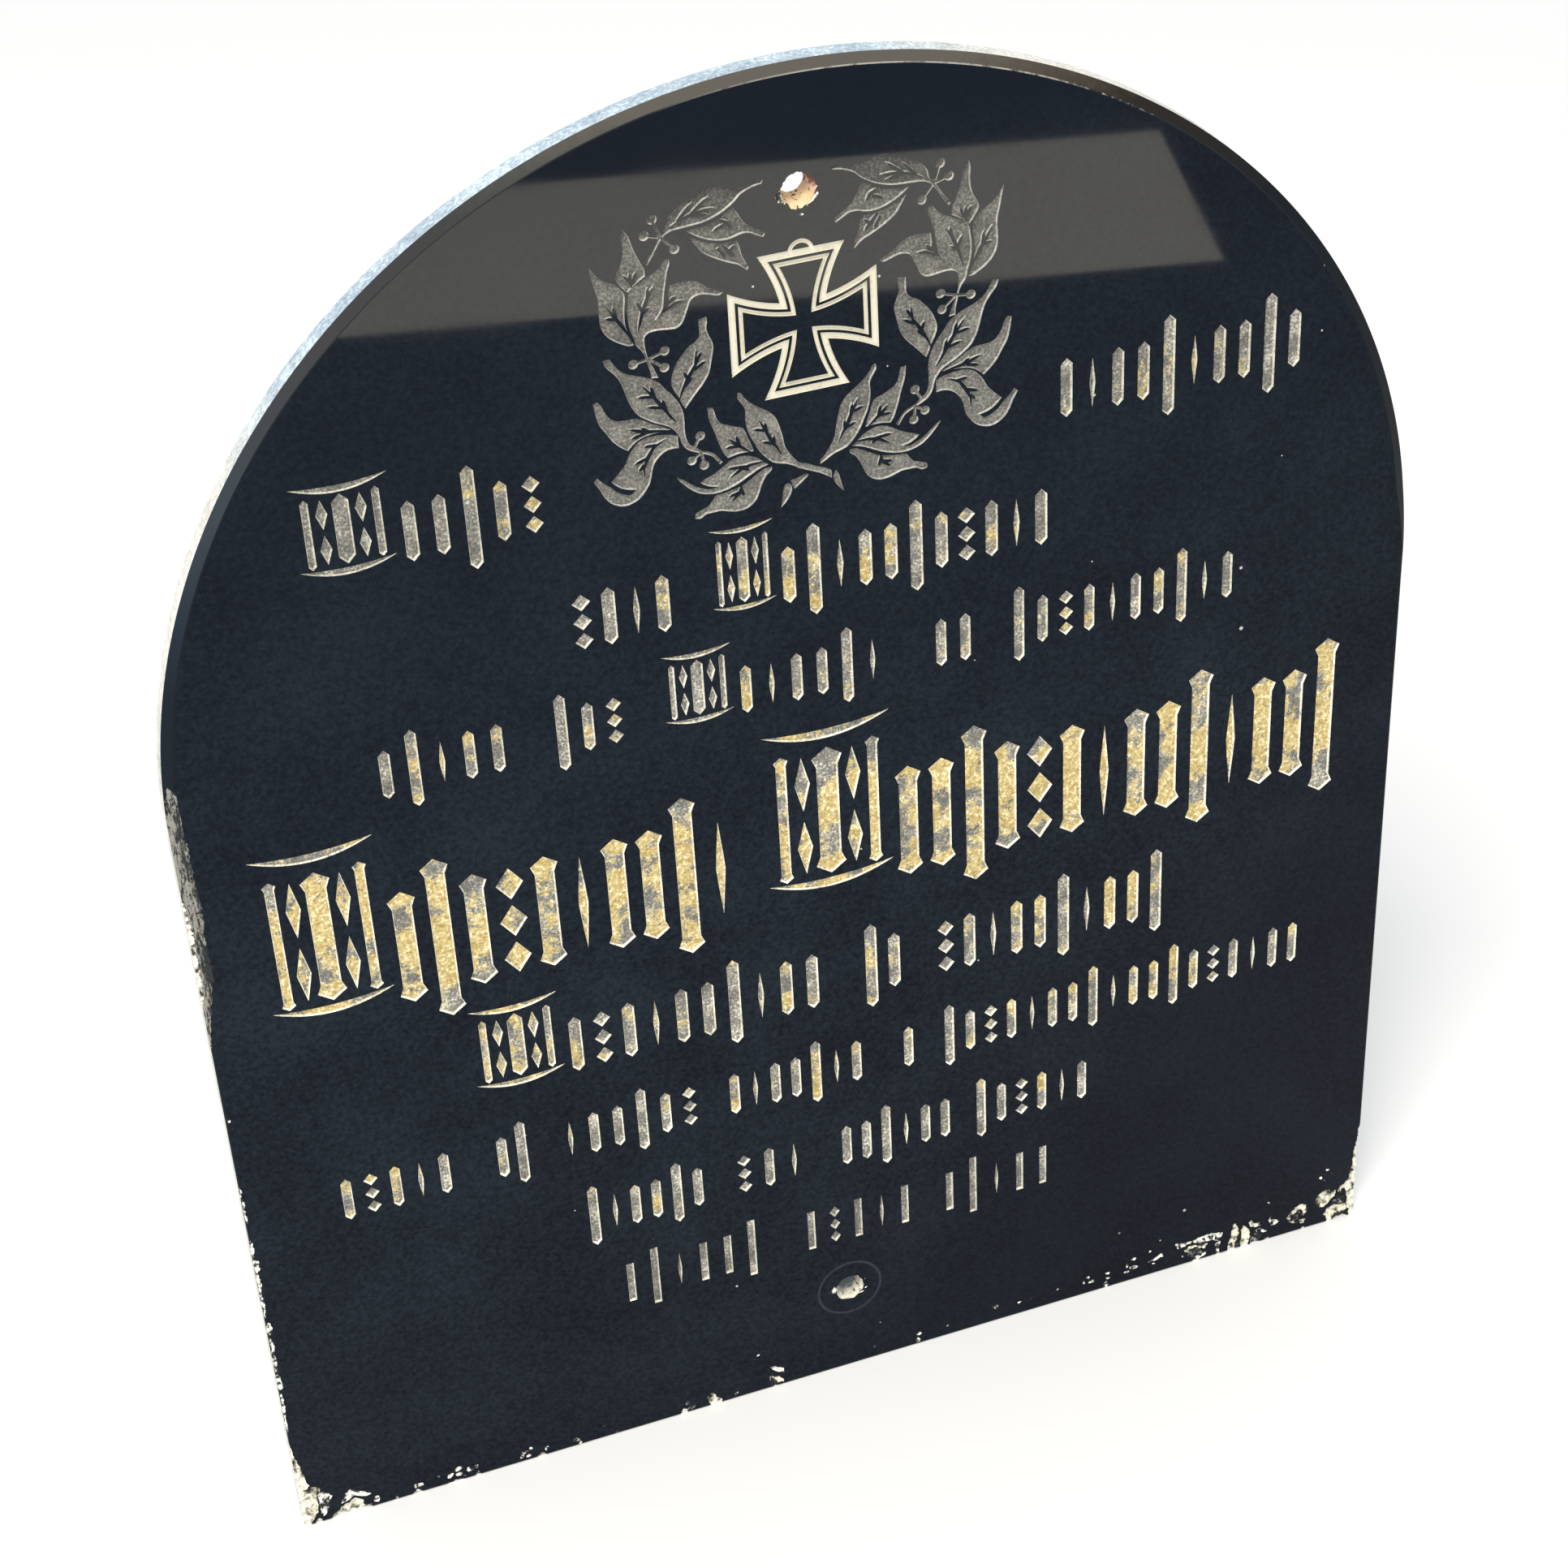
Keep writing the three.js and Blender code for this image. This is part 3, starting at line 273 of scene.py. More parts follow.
# Broken and ground places: finish, depth, and outline on the face, drawn past the slab's open edges.
FLAKES = [
    ("ground", 0.7, [(-203, 309), (-198, 308), (-196, 303), (-195.6, 297), (-195.7, 290), (-195.4, 283),
     (-195.3, 276), (-194.9, 268), (-194.9, 262), (-194.7, 257), (-195.7, 252), (-195.5, 247),
     (-194.9, 241), (-195.3, 236), (-196.1, 232), (-197.2, 227), (-198.4, 222), (-199.1, 216),
     (-199.6, 211), (-203, 209)]),
    ("flaked", 1, [(-203, 266), (-199.5, 266), (-199, 262), (-198.6, 256), (-198.3, 250), (-198.5, 244),
     (-198.1, 238), (-199, 232), (-199.5, 226), (-203, 224)]),
    ("flaked", 1.6, [(-203, 40), (-200.2, 40), (-199, 32), (-197.6, 26), (-197, 21), (-196.2, 18),
     (-193.4, 17), (-192.5, 15.5), (-193.4, 13.6), (-194.4, 11), (-194.4, 8), (-194.9, 5), (-196.2, 3),
     (-197.4, 1), (-198, -3), (-203, -3)]),
    ("shard", 0.8, [(-194, 12.8), (-192.6, 13.6), (-191.2, 13), (-189.2, 11), (-190, 9.4), (-191.2, 8.4),
     (-190.4, 6.6), (-191.8, 3.6), (-193, 2.4), (-193.8, 4.6), (-194, 7.2), (-193.6, 9.6)]),
    ("flaked", 0.9, [(-196.4, -3), (-196.2, 1.4), (-195, 2), (-193.8, 1.2), (-193.6, -3)]),
    ("flaked", 1.3, [(-191.2, -3), (-190.4, 0.8), (-189, 2.6), (-187, 3.6), (-186, 4.8), (-183.6, 5.4),
     (-182.4, 6.8), (-180.6, 6.2), (-179, 5), (-179.2, 3), (-178.4, 1.4), (-176.6, 1.6), (-175.4, -3)]),
    ("shard", 0.7, [(-186.6, 5.8), (-185.6, 8.2), (-184.4, 10.2), (-183, 11.4), (-181.6, 10.6),
     (-178.8, 8.4), (-175.9, 6.6), (-177.2, 6), (-178.8, 6.4), (-180.2, 7.3), (-182.2, 7.8),
     (-184.2, 6.4)]),
    ("shard", 0.8, [(-149.4, 3), (-148.4, 4.6), (-146.6, 5.6), (-145.4, 6.7), (-144, 6.2), (-144.2, 5),
     (-145.8, 4.8), (-147.2, 4), (-148.2, 2.8)]),
    ("shard", 0.8, [(-142.8, 4), (-142, 5.4), (-140.6, 4.6), (-139.6, 5.5), (-138.4, 5), (-138, 3.6),
     (-139, 2.8), (-140.4, 3.5), (-141.6, 3)]),
    ("flaked", 0.9, [(-149.8, -3), (-149.2, 0.5), (-146.4, 1), (-144, 0.4), (-143.6, -3)]),
    ("shard", 0.8, [(-139.8, -3), (-139.4, 1), (-138.4, 2), (-137.6, 0.8), (-137.4, -3)]),
    ("shard", 0.5, [(-123.6, 2), (-122.8, 4), (-121.2, 5.1), (-120.3, 4.3), (-121.8, 3.5), (-122.2, 1.8)]),
    ("flaked", 0.9, [(-117.4, -3), (-117, 1.2), (-115.6, 1.8), (-114.5, 0.8), (-114.4, -3)]),
    ("shard", 0.9, [(-66.2, -3), (-65.2, 0.8), (-64, 2.4), (-62.2, 1.6), (-60.6, 3.1), (-59.3, 2.6),
     (-60, 1.2), (-62.6, 0.4), (-63.4, -3)]),
    ("flaked", 1, [(-55, 4), (-54.4, 5.3), (-53.2, 5.9), (-52, 5.3), (-51.8, 3.8), (-49.8, 2), (-49.4, -3),
     (-54.6, -3), (-54, 1), (-54.6, 2.6)]),
    ("shard", 0.7, [(-30.6, 10.2), (-29.2, 9.6), (-27.4, 8.7), (-25.9, 7.4), (-25.8, 5.9), (-27, 6.1),
     (-28.6, 7.2), (-30, 8.4)]),
    ("flaked", 0.9, [(-31.5, 5), (-30.4, 5.7), (-29.6, 4.4), (-28.2, 4.7), (-26.1, 2.6), (-26.6, 1.4),
     (-28.4, 1.6), (-29.4, -3), (-30.6, 1), (-31.3, 3)]),
    ("shard", 0.6, [(115, 6.2), (117, 7), (118.6, 7.7), (121, 9), (121.3, 7.1), (119, 6.6), (117, 6)]),
    ("shard", 0.6, [(126.4, 11.2), (130, 10.7), (133, 10.4), (136, 11.1), (139, 11.6), (142, 11.1),
     (145.2, 10.4), (145, 7.4), (143.4, 6.6), (141, 8.2), (138, 8), (135, 8.6), (131.5, 9.3), (128.5, 8.4),
     (127, 9)]),
    ("flaked", 0.9, [(130, 6.4), (131.4, 7.9), (133.4, 8.3), (135.2, 7.4), (137.6, 7.7), (139.6, 7),
     (138.4, 5.2), (136.2, 5.7), (134.4, 7), (132.6, 6.7), (131.4, 5.4)]),
    ("break", 0.9, [(131.5, 6.4), (134.4, 6.8), (136.6, 5.2), (137.6, 3), (135.8, 1.6), (133, 2.4),
     (131.2, 4)]),
    ("shard", 0.8, [(142.4, 5), (143.6, 6.5), (144.7, 7), (144.3, 3.4), (144, -3), (142.8, -3),
     (143.2, 3.4)]),
    ("shard", 0.8, [(133.2, -3), (133.6, 1.6), (136.4, 1.9), (138, 3.1), (139.6, 3.6), (138.6, 1.8),
     (136, 0.4), (135.6, -3)]),
    ("flaked", 1.3, [(147.5, -3), (147.8, 3), (148.6, 6), (149, 9), (149.6, 12.4), (150.6, 12.9),
     (151.4, 10.8), (152, 8), (151.4, 5.6), (150.6, 3.4), (150.4, -3)]),
    ("break", 0.9, [(150.8, 3), (151.8, 5.8), (152.5, 8), (152.8, 5), (152.3, 2), (152.3, -3),
     (150.8, -3)]),
    ("flaked", 1.2, [(152.8, -3), (152.8, 2.4), (153.2, 5.6), (152.8, 8.6), (153.8, 10.4), (155, 9.6),
     (156.4, 7.6), (156.6, 4), (156, 1.4), (156.2, -3)]),
    ("flaked", 0.9, [(156, 10.8), (157, 12.2), (158.2, 10), (160.4, 9.7), (162, 9.2), (161.4, 7.9),
     (159, 8), (157, 8.4)]),
    ("shard", 0.8, [(158.4, 6.4), (160.2, 7.1), (162, 5.9), (163.6, 4.4), (162.4, 4), (160.4, 4.8),
     (158.6, 5)]),
    ("break", 1, [(156.9, 4), (158.2, 4.8), (160.4, 4.5), (162, 3.4), (161.6, 1.4), (159, -3),
     (156.8, -3)]),
    ("shard", 0.9, [(163.6, 11.2), (164.8, 10.8), (165.2, 9.2), (166.8, 8.9), (168.4, 7.6), (167, 6.2),
     (165.6, 6.4), (164.6, 8)]),
    ("flaked", 0.8, [(162.5, -3), (162.8, 0.9), (164.6, 1.1), (165.4, -3)]),
    ("flaked", 0.8, [(171.4, 7.6), (173, 9.8), (175, 11.8), (176.8, 13), (179.2, 11.4), (179.8, 8.6),
     (178.6, 6.6), (177.2, 7.2), (177.8, 9.4), (176.6, 10.4), (175, 9.2), (173.6, 7.6), (172.8, 5.6)]),
    ("break", 0.8, [(174.2, 7.4), (175.4, 9), (176.6, 9.8), (177.2, 8.6), (176.4, 6.8), (177.6, 5.8),
     (175.8, 5.6), (174, 6.4)]),
    ("flaked", 0.8, [(172.8, 5.3), (174.8, 4.2), (176.4, 3.3), (178.6, 2.8), (179.6, 4.8), (178, 5),
     (176, 5.2), (174.4, 6)]),
    ("flaked", 0.8, [(177.6, -3), (178, 1.1), (179.4, 1.1), (179.8, -3)]),
    ("flaked", 1.1, [(183, 12), (184.2, 14.6), (186.4, 16), (188.6, 16), (190, 14), (191.8, 14.8),
     (191, 12), (189.6, 11), (188.4, 9), (186.6, 7.8), (184.8, 8.4), (183.6, 10.2)]),
    ("flaked", 1.8, [(203, 44), (199.7, 44), (198.7, 36), (197.9, 29), (197.4, 24), (196.6, 19),
     (195.2, 16.8), (193.4, 16.2), (192.4, 14), (193.6, 12.4), (193.6, 14.4), (195.2, 14.8), (195.6, 12),
     (196.4, 9), (196.2, 6), (197.2, 3), (197.6, -3), (203, -3)]),
    ("break", 1.4, [(190, 10), (191.6, 11.6), (193.4, 11.8), (195.2, 11.4), (196, 9), (195.4, 7.2),
     (193, 7.4), (190.8, 8)]),
    ("flaked", 1.3, [(187, 4.6), (188.4, 6.8), (190.6, 7.6), (193, 7), (195.6, 6.6), (196.8, 4), (195, 2.9),
     (193, 2.7), (191.4, 3.6), (190.4, 1.4), (190, -3), (188.6, -3), (188.2, 2)]),
    ("break", 1.2, [(190.8, -3), (191, 1.6), (192, 3), (195, 2.6), (196.8, 3), (197.2, -3)]),
    ("break", 0.8, [(-5.9, 450.6), (-5.4, 449.1), (-4.7, 448.2), (-3.6, 447.4), (-2.8, 447.9),
     (-3.6, 449.6), (-3.9, 451.6), (-4.6, 451.3)]),
    ("shard", 0.5, [(2.2, 445.3), (3.7, 445.8), (5.1, 446.8), (6, 448), (6.6, 449.4), (6.1, 449.6),
     (5.5, 448.3), (4.6, 447.3), (3.4, 446.5), (2.1, 445.9)]),
    ("shard", 0.7, [(-7.9, 37), (-6.6, 38.2), (-5.4, 39.5), (-4.8, 38), (-5.5, 36.2), (-6.6, 36.3)]),
]
# Small chips as places with their half width and half height.
CHIPS = [
    (-174.4, 3.2, 1, 1.5), (-167.6, 0.8, 0.8, 0.7), (-159.6, 3.6, 1.6, 1.2), (-160.2, 0, 2, 1.7),
    (-152.2, 4.9, 0.5, 0.5), (-145.4, 3.2, 1.2, 0.8), (-143.9, 1.5, 1, 0.7), (-120.4, 2.1, 0.8, 0.8),
    (-119.4, 5.1, 0.6, 0.7), (-113.8, 3, 0.8, 0.9), (-103.1, 2.9, 1.2, 1), (-101.8, 1.2, 0.6, 0.7),
    (-93.1, 5.5, 0.5, 0.6), (-88.4, 0.8, 0.6, 0.6), (-62, 4.7, 0.8, 0.8), (-44, 2.3, 0.5, 0.5),
    (-35, 17.4, 0.5, 0.6), (8.3, 4.7, 0.6, 0.6), (25.2, 4.7, 1.3, 0.8), (24.8, 1.9, 0.9, 1.1),
    (36, 4.5, 1, 0.4), (55, 6.9, 1.4, 0.9), (64.5, 5.5, 1, 0.5), (69, 5.4, 0.8, 0.6), (77.3, 5.1, 0.6, 0.5),
    (79.4, 6, 0.5, 0.5), (89.6, 5.8, 0.5, 0.6), (91.3, 7.4, 0.6, 0.7), (93.4, 5, 1.8, 0.6),
    (98.6, 1.6, 0.9, 1.6), (99.1, 4.4, 0.7, 0.6), (99.2, 6.8, 0.8, 0.6), (103.6, 25, 0.6, 0.7),
    (107, 7.8, 0.7, 1.2), (109.6, 5.9, 1.7, 0.7), (107, 4.5, 1.2, 0.5), (109.6, 10, 1, 0.5),
    (115.9, 11.3, 0.6, 0.6), (117.6, 4.8, 0.7, 0.5), (120.2, 15.3, 0.5, 0.4), (132.3, 4.4, 0.6, 1.2),
    (129.4, 4, 0.4, 0.5), (163.9, 18, 0.5, 0.6), (185, 23, 0.5, 0.7), (186.4, 21.6, 0.5, 0.9),
    (187.6, 26, 0.6, 0.6), (189, 23.6, 0.4, 0.5), (-199.4, 78, 0.7, 6), (-199.3, 69, 0.9, 4),
    (-199.5, 58, 0.6, 6), (-199.2, 86, 0.6, 3.4), (-199.2, 93, 0.9, 3), (-199.7, 50, 0.5, 6),
    (-199.6, 128, 0.5, 4), (-199.3, 121, 1, 3), (-199.5, 113, 0.6, 6), (-199.6, 103, 0.6, 5),
    (-199.7, 147, 0.4, 8), (-198.9, 182, 0.5, 1.2), (1.3, 443.6, 1, 0.4), (-5.6, 450.2, 0.25, 0.7),
    (-4.9, 448.6, 0.5, 0.35), (-3.8, 447.8, 0.6, 0.35), (-4.3, 451.3, 0.35, 0.4), (5.6, 38.6, 0.25, 0.8),
    (5.9, 34.8, 0.35, 0.4), (4.3, 33.3, 0.7, 0.4),
]
FLAKE_STEP = 0.5
FLAKE_GRID = 0.9
FLAKE_JITTER = 0.55
FLAKE_RIM = 0.35
RIM_WAVES = 0.9
FLOOR_WAVES = 0.8
CHIP_SIDES = 9
CHIP_DEPTH = 0.5
STRIP_INNER = -194.3
# Seeds the shaken outlines, which would otherwise follow the clock.
NOISE_SEED = 5

# Scratches on the face: start, end and width.
SCRATCHES = [
    (-105, 214, -109.5, 193, 0.22), (-73, 60, -64, 66, 0.2), (127, 20.4, 134.8, 21.5, 0.16),
    (-150, 118, -139, 116, 0.2), (31, 118, 37, 131, 0.16),
]

# The photograph's viewing angle.
CAMERA_PLACE = (-260.3, 810.8, 766.6)
CAMERA_TURN = (55.124, 2.759, -19.958)
CAMERA_LENS = 72.19

# A studio, in metres: pale floor, soft sky, a key light and a low strip that the face mirrors as a band.
FLOOR_HALF = 6.0
FLOOR_DROP = 0.0001
FLOOR_COLOUR = (0.84, 0.84, 0.835, 1)
SKY_COLOUR = (0.96, 0.98, 1.0, 1)
SKY_STRENGTH = 0.95
KEY_PLACE = (-0.9, -1.1, 2.1)
KEY_SIZE = (1.0, 1.0)
KEY_POWER = 55
KEY_COLOUR = (1.0, 0.95, 0.86)
STRIP_PLACE = (0.068, -0.9038, low.z + 0.03)
STRIP_TARGET = (0.068, -0.9038, 1)
STRIP_SIZE = (0.919, 0.185)
STRIP_POWER = 4.18
STRIP_COLOUR = (1.0, 0.92, 0.74)
STRIP_TURN = -0.25

# Finishes in the order of the material slots, and the pairs of floor and wall finish of the engraving.
FINISHES = ["face", "back", "edge", "bevel", "arris", "etched", "etched_rim", "gilding", "gilding_rim",
            "cream", "break", "shard", "flaked", "ground", "rust_and_shade", "lime", "scuff"]
ETCHED = ("etched", "etched_rim")
GILDED = ("gilding", "gilding_rim")
CREAM = ("cream", "cream")
SCUFF = ("scuff", "scuff")
ROUNDED = ("edge", "bevel", "rust_and_shade", "lime")
LOW_GLOSS = 0.1
BARE_CELLS = 0.55
DARK_GLASS = (0.004, 0.0075, 0.013)


class Finish:
    """A new material, built node by node."""

    def __init__(self, name):
        material = bpy.data.materials.new(name)
        material.use_nodes = True
        self.tree = material.node_tree

    def fill(self, node, inputs):
        """Sets or links a node's inputs, given by name or number."""
        for key, value in inputs.items():
            if isinstance(value, bpy.types.NodeSocket):
                self.tree.links.new(value, node.inputs[key])
            else:
                node.inputs[key].default_value = value

    def node(self, kind, inputs, operation=None):
        """Makes a node and gives its outputs."""
        node = self.tree.nodes.new("ShaderNode" + kind)
        if operation:
            node.operation = operation
        self.fill(node, inputs)
        return node.outputs

    def where(self):
        return self.node("TexCoord", {})["Object"]

    def noise(self, size, detail=3.0, roughness=0.55, stretch=1.0):
        """Cloudy noise from 0 to 1 whose patches are about size millimetres across, stretched upwards."""
        squeezed = self.node("Mapping", {"Vector": self.where(), "Scale": (1, 1, 1 / stretch)})["Vector"]
        return self.node("TexNoise", {"Vector": squeezed, "Scale": 1 / (size * MM), "Detail": detail,
                                      "Roughness": roughness})["Fac"]

    def patches(self, fine, broad, weight, detail=4, roughness=0.7):
        """Fine noise on broad noise of a weight."""
        return self.add(self.noise(fine, detail, roughness), self.noise(broad), weight)

    def along(self, axis, start, end):
        """How far a point lies along an axis from one place to another, from 0 to 1."""
        return self.stretched(self.node("SeparateXYZ", {"Vector": self.where()})[axis], start, end)

    def height(self):
        return self.along("Z", low.z, high.z)

    def left(self):
        return self.along("X", high.x, low.x)

    def stretched(self, value, start, end):
        """A value taken from the range between start and end to 0 to 1."""
        return self.node("MapRange", {"Value": value, "From Min": start, "From Max": end})["Result"]

    def ramp(self, factor, stops):
        """A ramp through stops of place and value, a number or a colour."""
        node = self.tree.nodes.new("ShaderNodeValToRGB")
        marks = node.color_ramp.elements
        while len(marks) < len(stops):
            marks.new(0.5)
        for mark, (place_at, value) in zip(marks, stops):
            mark.position = place_at
            mark.color = (value, value, value, 1) if isinstance(value, (int, float)) else (*value, 1)
        self.fill(node, {"Fac": factor})
        return node.outputs["Color"]

    def blend(self, factor, first, second):
        """From the first colour at 0 to the second at 1."""
        node = self.tree.nodes.new("ShaderNodeMix")
        node.data_type = "RGBA"
        numbers = [i for i, socket in enumerate(node.inputs) if socket.enabled]
        colours = [c if isinstance(c, bpy.types.NodeSocket) else (*c, 1) for c in (first, second)]
        self.fill(node, dict(zip(numbers, (factor, *colours))))
        return next(s for s in node.outputs if s.enabled)

    def add(self, first, second, weight=1.0):
        """The first value plus the second times a weight."""
        return self.node("Math", {0: second, 1: weight, 2: first}, "MULTIPLY_ADD")["Value"]

    def specks(self, spacing, radius):
        """Scattered small dots: 1 on a dot, 0 elsewhere. Only some of the cells hold one."""
        cells = self.node("TexVoronoi", {"Vector": self.where(), "Scale": 1 / (spacing * MM)})
        chance = self.node("SeparateColor", {"Color": cells["Color"]})["Red"]
        size = self.node("MapRange", {"Value": chance, "From Min": BARE_CELLS, "To Max": radius / spacing})
        return self.node("Math", {0: cells["Distance"], 1: size["Result"]}, "LESS_THAN")["Value"]

    def surface(self, colour, roughness, specular=0.5, relief=None, metallic=0.0):
        """Sets the shader. A relief is a height and how far it stands out, in millimetres."""
        inputs = {"Base Color": colour, "Roughness": roughness, "Specular IOR Level": specular,
                  "Metallic": metallic}
        if relief:
            height, distance = relief
            inputs["Normal"] = self.node("Bump", {"Height": height, "Distance": distance * MM,
                                                  "Strength": 1.0})["Normal"]
        self.fill(self.tree.nodes["Principled BSDF"], inputs)


def polished_glass(name):
    """The face: black glass with clouding, fine dust and specks, darker at the top and the lower right."""
    m = Finish(name)
    cloud = m.add(m.patches(1.7, 40, 0.4, 5, 0.75), m.left(), 0.05)
    dusty = m.ramp(cloud, [(0.57, (0.0, 0.0012, 0.006)), (1.0, (0.0125, 0.0205, 0.0295))])
    # Painted reflection: the top of the face is darkened to stand in for dark surroundings mirrored there.
    rise = m.ramp(m.height(), [(0.45, 0), (0.8, 0.5), (0.92, 0.55), (0.96, 0.9)])
    glass = m.blend(rise, dusty, (0.001, 0.0035, 0.0085))
    # Darker towards the lower right.
    corner = m.ramp(m.add(m.height(), m.left()), [(0.4, 0.45), (0.62, 0)])
    glass = m.blend(corner, glass, (0.0005, 0.002, 0.006))
    roughness = m.ramp(m.noise(30, 4), [(0.35, 0.02), (0.75, 0.044)])
    m.surface(m.blend(m.specks(13, 0.7), glass, (0.42, 0.42, 0.4)), roughness, LOW_GLOSS)


def dull_back(name):
    """The back: dull glass with dust in broad patches and thin smears of lime."""
    m = Finish(name)
    dust = m.add(m.noise(70, 4, 0.6), m.noise(4, 5, 0.7, 2), 0.5)
    colour = m.ramp(dust, [(0.62, (0.005, 0.008, 0.012)), (0.82, (0.022, 0.026, 0.029)),
                           (0.9, (0.042, 0.044, 0.043)), (1.0, (0.14, 0.137, 0.124))])
    m.surface(colour, m.ramp(dust, [(0.6, 0.3), (0.9, 0.7)]), 0.3, (m.noise(1.6, 4, 0.7), 0.12))


def bevelled_glass(name):
    """Painted sky reflection on the bevel: grey at the top, bluish to the left, as dark as the face to the
    right.
    """
    m = Finish(name)
    rise = m.add(m.height(), m.noise(3, 4, 0.7), 0.03)
    # Painted reflection: these tones stand in for the sky mirrored in the bevel.
    top = (1.0, (0.079, 0.0737, 0.0638))
    left = m.ramp(rise, [(0.7, (0.005, 0.009, 0.015)), (0.745, (0.0106, 0.018, 0.0289)),
                         (0.81, (0.0289, 0.0383, 0.0474)), (0.9, (0.0346, 0.0346, 0.037)),
                         (0.96, (0.0323, 0.0346, 0.0334)), (0.985, (0.053, 0.053, 0.0488)), top])
    right = m.ramp(rise, [(0.87, (0.004, 0.006, 0.009)), (0.955, (0.0162, 0.0137, 0.0106)),
                          (0.985, (0.06, 0.051, 0.041)), top])
    m.surface(m.blend(m.stretched(m.left(), 0.45, 0.55), right, left), 0.25, LOW_GLOSS)


def arris_with_highlight(name):
    """The line between bevel and face: a painted pale highlight at the top, elsewhere like the face."""
    m = Finish(name)
    # Painted highlight: pale along the top of the arris, towards the right only.
    highlight_share = m.stretched(m.add(m.height(), m.noise(4, 4, 0.7), 0.25), 1.07, 1.11)
    pale = m.ramp(highlight_share, [(0, DARK_GLASS), (1, (0.3, 0.29, 0.265))])
    m.surface(m.blend(m.stretched(m.left(), 0.48, 0.6), pale, DARK_GLASS), 0.2, LOW_GLOSS)


def honed_edge(name):
    """The side walls: pale dust, with a painted blue sheen of the sky along the upper left of the arch."""
    m = Finish(name)
    dust = m.patches(1.3, 11, 0.5)
    cream = m.ramp(dust, [(0.55, (0.4, 0.395, 0.36)), (0.85, (0.72, 0.71, 0.66))])
    blue = m.ramp(dust, [(0.55, (0.2, 0.27, 0.35)), (0.75, (0.34, 0.42, 0.49)), (0.95, (0.6, 0.72, 0.78))])
    # Painted reflection: blue sheen of the sky along the upper left of the arch.
    sheen = m.stretched(m.add(m.height(), m.left(), 0.3), 1.085, 1.13)
    m.surface(m.blend(sheen, cream, blue), 0.5, relief=(m.noise(0.8, 4, 0.7), 0.08))


def ground_glass(name, pale, dark, grain):
    """Ground or honed glass: a dull skin with a fine grain."""
    m = Finish(name)
    colour = m.ramp(m.patches(grain, grain * 9, 0.5), [(0.55, dark), (0.95, pale)])
    m.surface(colour, 0.5, 0.35, (m.noise(grain * 0.6, 4, 0.7), 0.08))


def etched_glass(name):
    """The wreath: matte etched glass with a fine sandy grain, darkened at its top as painted shade."""
    m = Finish(name)
    sand = m.patches(0.9, 7, 0.4, 3, 0.75)
    pale = m.ramp(sand, [(0.55, (0.06, 0.06, 0.054)), (0.7, (0.125, 0.122, 0.109)),
                         (0.85, (0.27, 0.264, 0.235))])
    painted_shade = m.ramp(sand, [(0.55, (0.018, 0.018, 0.017)), (0.7, (0.038, 0.0375, 0.035)),
                         (0.85, (0.085, 0.083, 0.078))])
    # Painted shade: the upper leaves are darkened as if they got less light.
    rise = m.ramp(m.height(), [(0.77, 0), (0.84, 0.25), (0.905, 0.3), (0.935, 1)])
    m.surface(m.blend(rise, pale, painted_shade), 0.55, 0.4, (m.noise(0.5, 3, 0.7), 0.1))


def darkened_by_height(m, colour):
    """A colour that is darker in the lowest row of strokes and in the upper ones."""
    rise = m.ramp(m.height(), [(0.15, 0.2), (0.19, 0), (0.53, 0), (0.6, 0.18), (0.68, 0.18), (0.75, 0.32)])
    return m.blend(rise, colour, (0.02, 0.02, 0.018))


def worn_gilding(name):
    """Gold leaf rubbed off in patches down to its grey ground, more in some rows than in others."""
    m = Finish(name)
    shares = [((foot + tall / 2) / HEIGHT, share) for foot, tall, *_, share, _ in reversed(ROWS)]
    left = m.ramp(m.height(), shares)
    for size, weight in ((14, 1.0), (2.5, 0.35), (0.8, 0.35)):
        left = m.add(left, m.noise(size, 3, 0.65), weight)
    gold = m.stretched(left, 1.33, 1.37)
    ground = m.ramp(m.patches(0.9, 7, 0.6, 3, 0.75),
                    [(0.58, (0.07, 0.069, 0.06)), (0.68, (0.11, 0.108, 0.094)), (0.8, (0.2, 0.194, 0.166)),
                     (0.9, (0.46, 0.44, 0.375)), (1.0, (0.92, 0.9, 0.8))])
    leaf = m.ramp(m.noise(1.1, 3, 0.75), [(0.3, (0.3, 0.21, 0.07)), (0.47, (0.52, 0.4, 0.165)),
                                          (0.58, (0.68, 0.57, 0.29)), (0.66, (1.0, 0.94, 0.68))])
    m.surface(darkened_by_height(m, m.blend(gold, ground, leaf)), m.ramp(m.noise(1.2, 2), [(0.3, 0.3), (0.7, 0.5)]),
              relief=(m.noise(0.8, 3, 0.75), 0.16), metallic=m.ramp(gold, [(0, 0), (1, 0.7)]))


def gilded_rim(name):
    """The leaning walls of the strokes, where the pale ground catches the light."""
    m = Finish(name)
    ground = m.ramp(m.patches(0.9, 8, 0.5), [(0.55, (0.34, 0.33, 0.26)), (0.83, (1.0, 0.97, 0.84))])
    m.surface(darkened_by_height(m, ground), 0.45, relief=(m.noise(0.5, 4, 0.7), 0.08))


def cream_paint(name):
    """The cross: pale cream filling, a little soiled."""
    m = Finish(name)
    paint = m.ramp(m.patches(1.1, 6, 0.6), [(0.5, (0.46, 0.43, 0.33)), (0.75, (0.62, 0.595, 0.49))])
    m.surface(paint, 0.45, relief=(m.noise(0.6), 0.06))


def broken_glass(name, size, stops):
    """Broken glass: facets in patches from bare dark glass to pale splinters and lime; the palest also
    painted glints.
    """
    m = Finish(name)
    # Painted highlight: the palest patches also stand in for glints on the fractures.
    facets = m.add(m.noise(size), m.noise(size * 4, 3, 0.6), 0.6)
    roughness = m.ramp(facets, [(0.6, 0.15), (0.8, 0.6)])
    m.surface(m.ramp(facets, stops), roughness, 0.4, (m.noise(size * 0.4, 4, 0.7), 0.15))


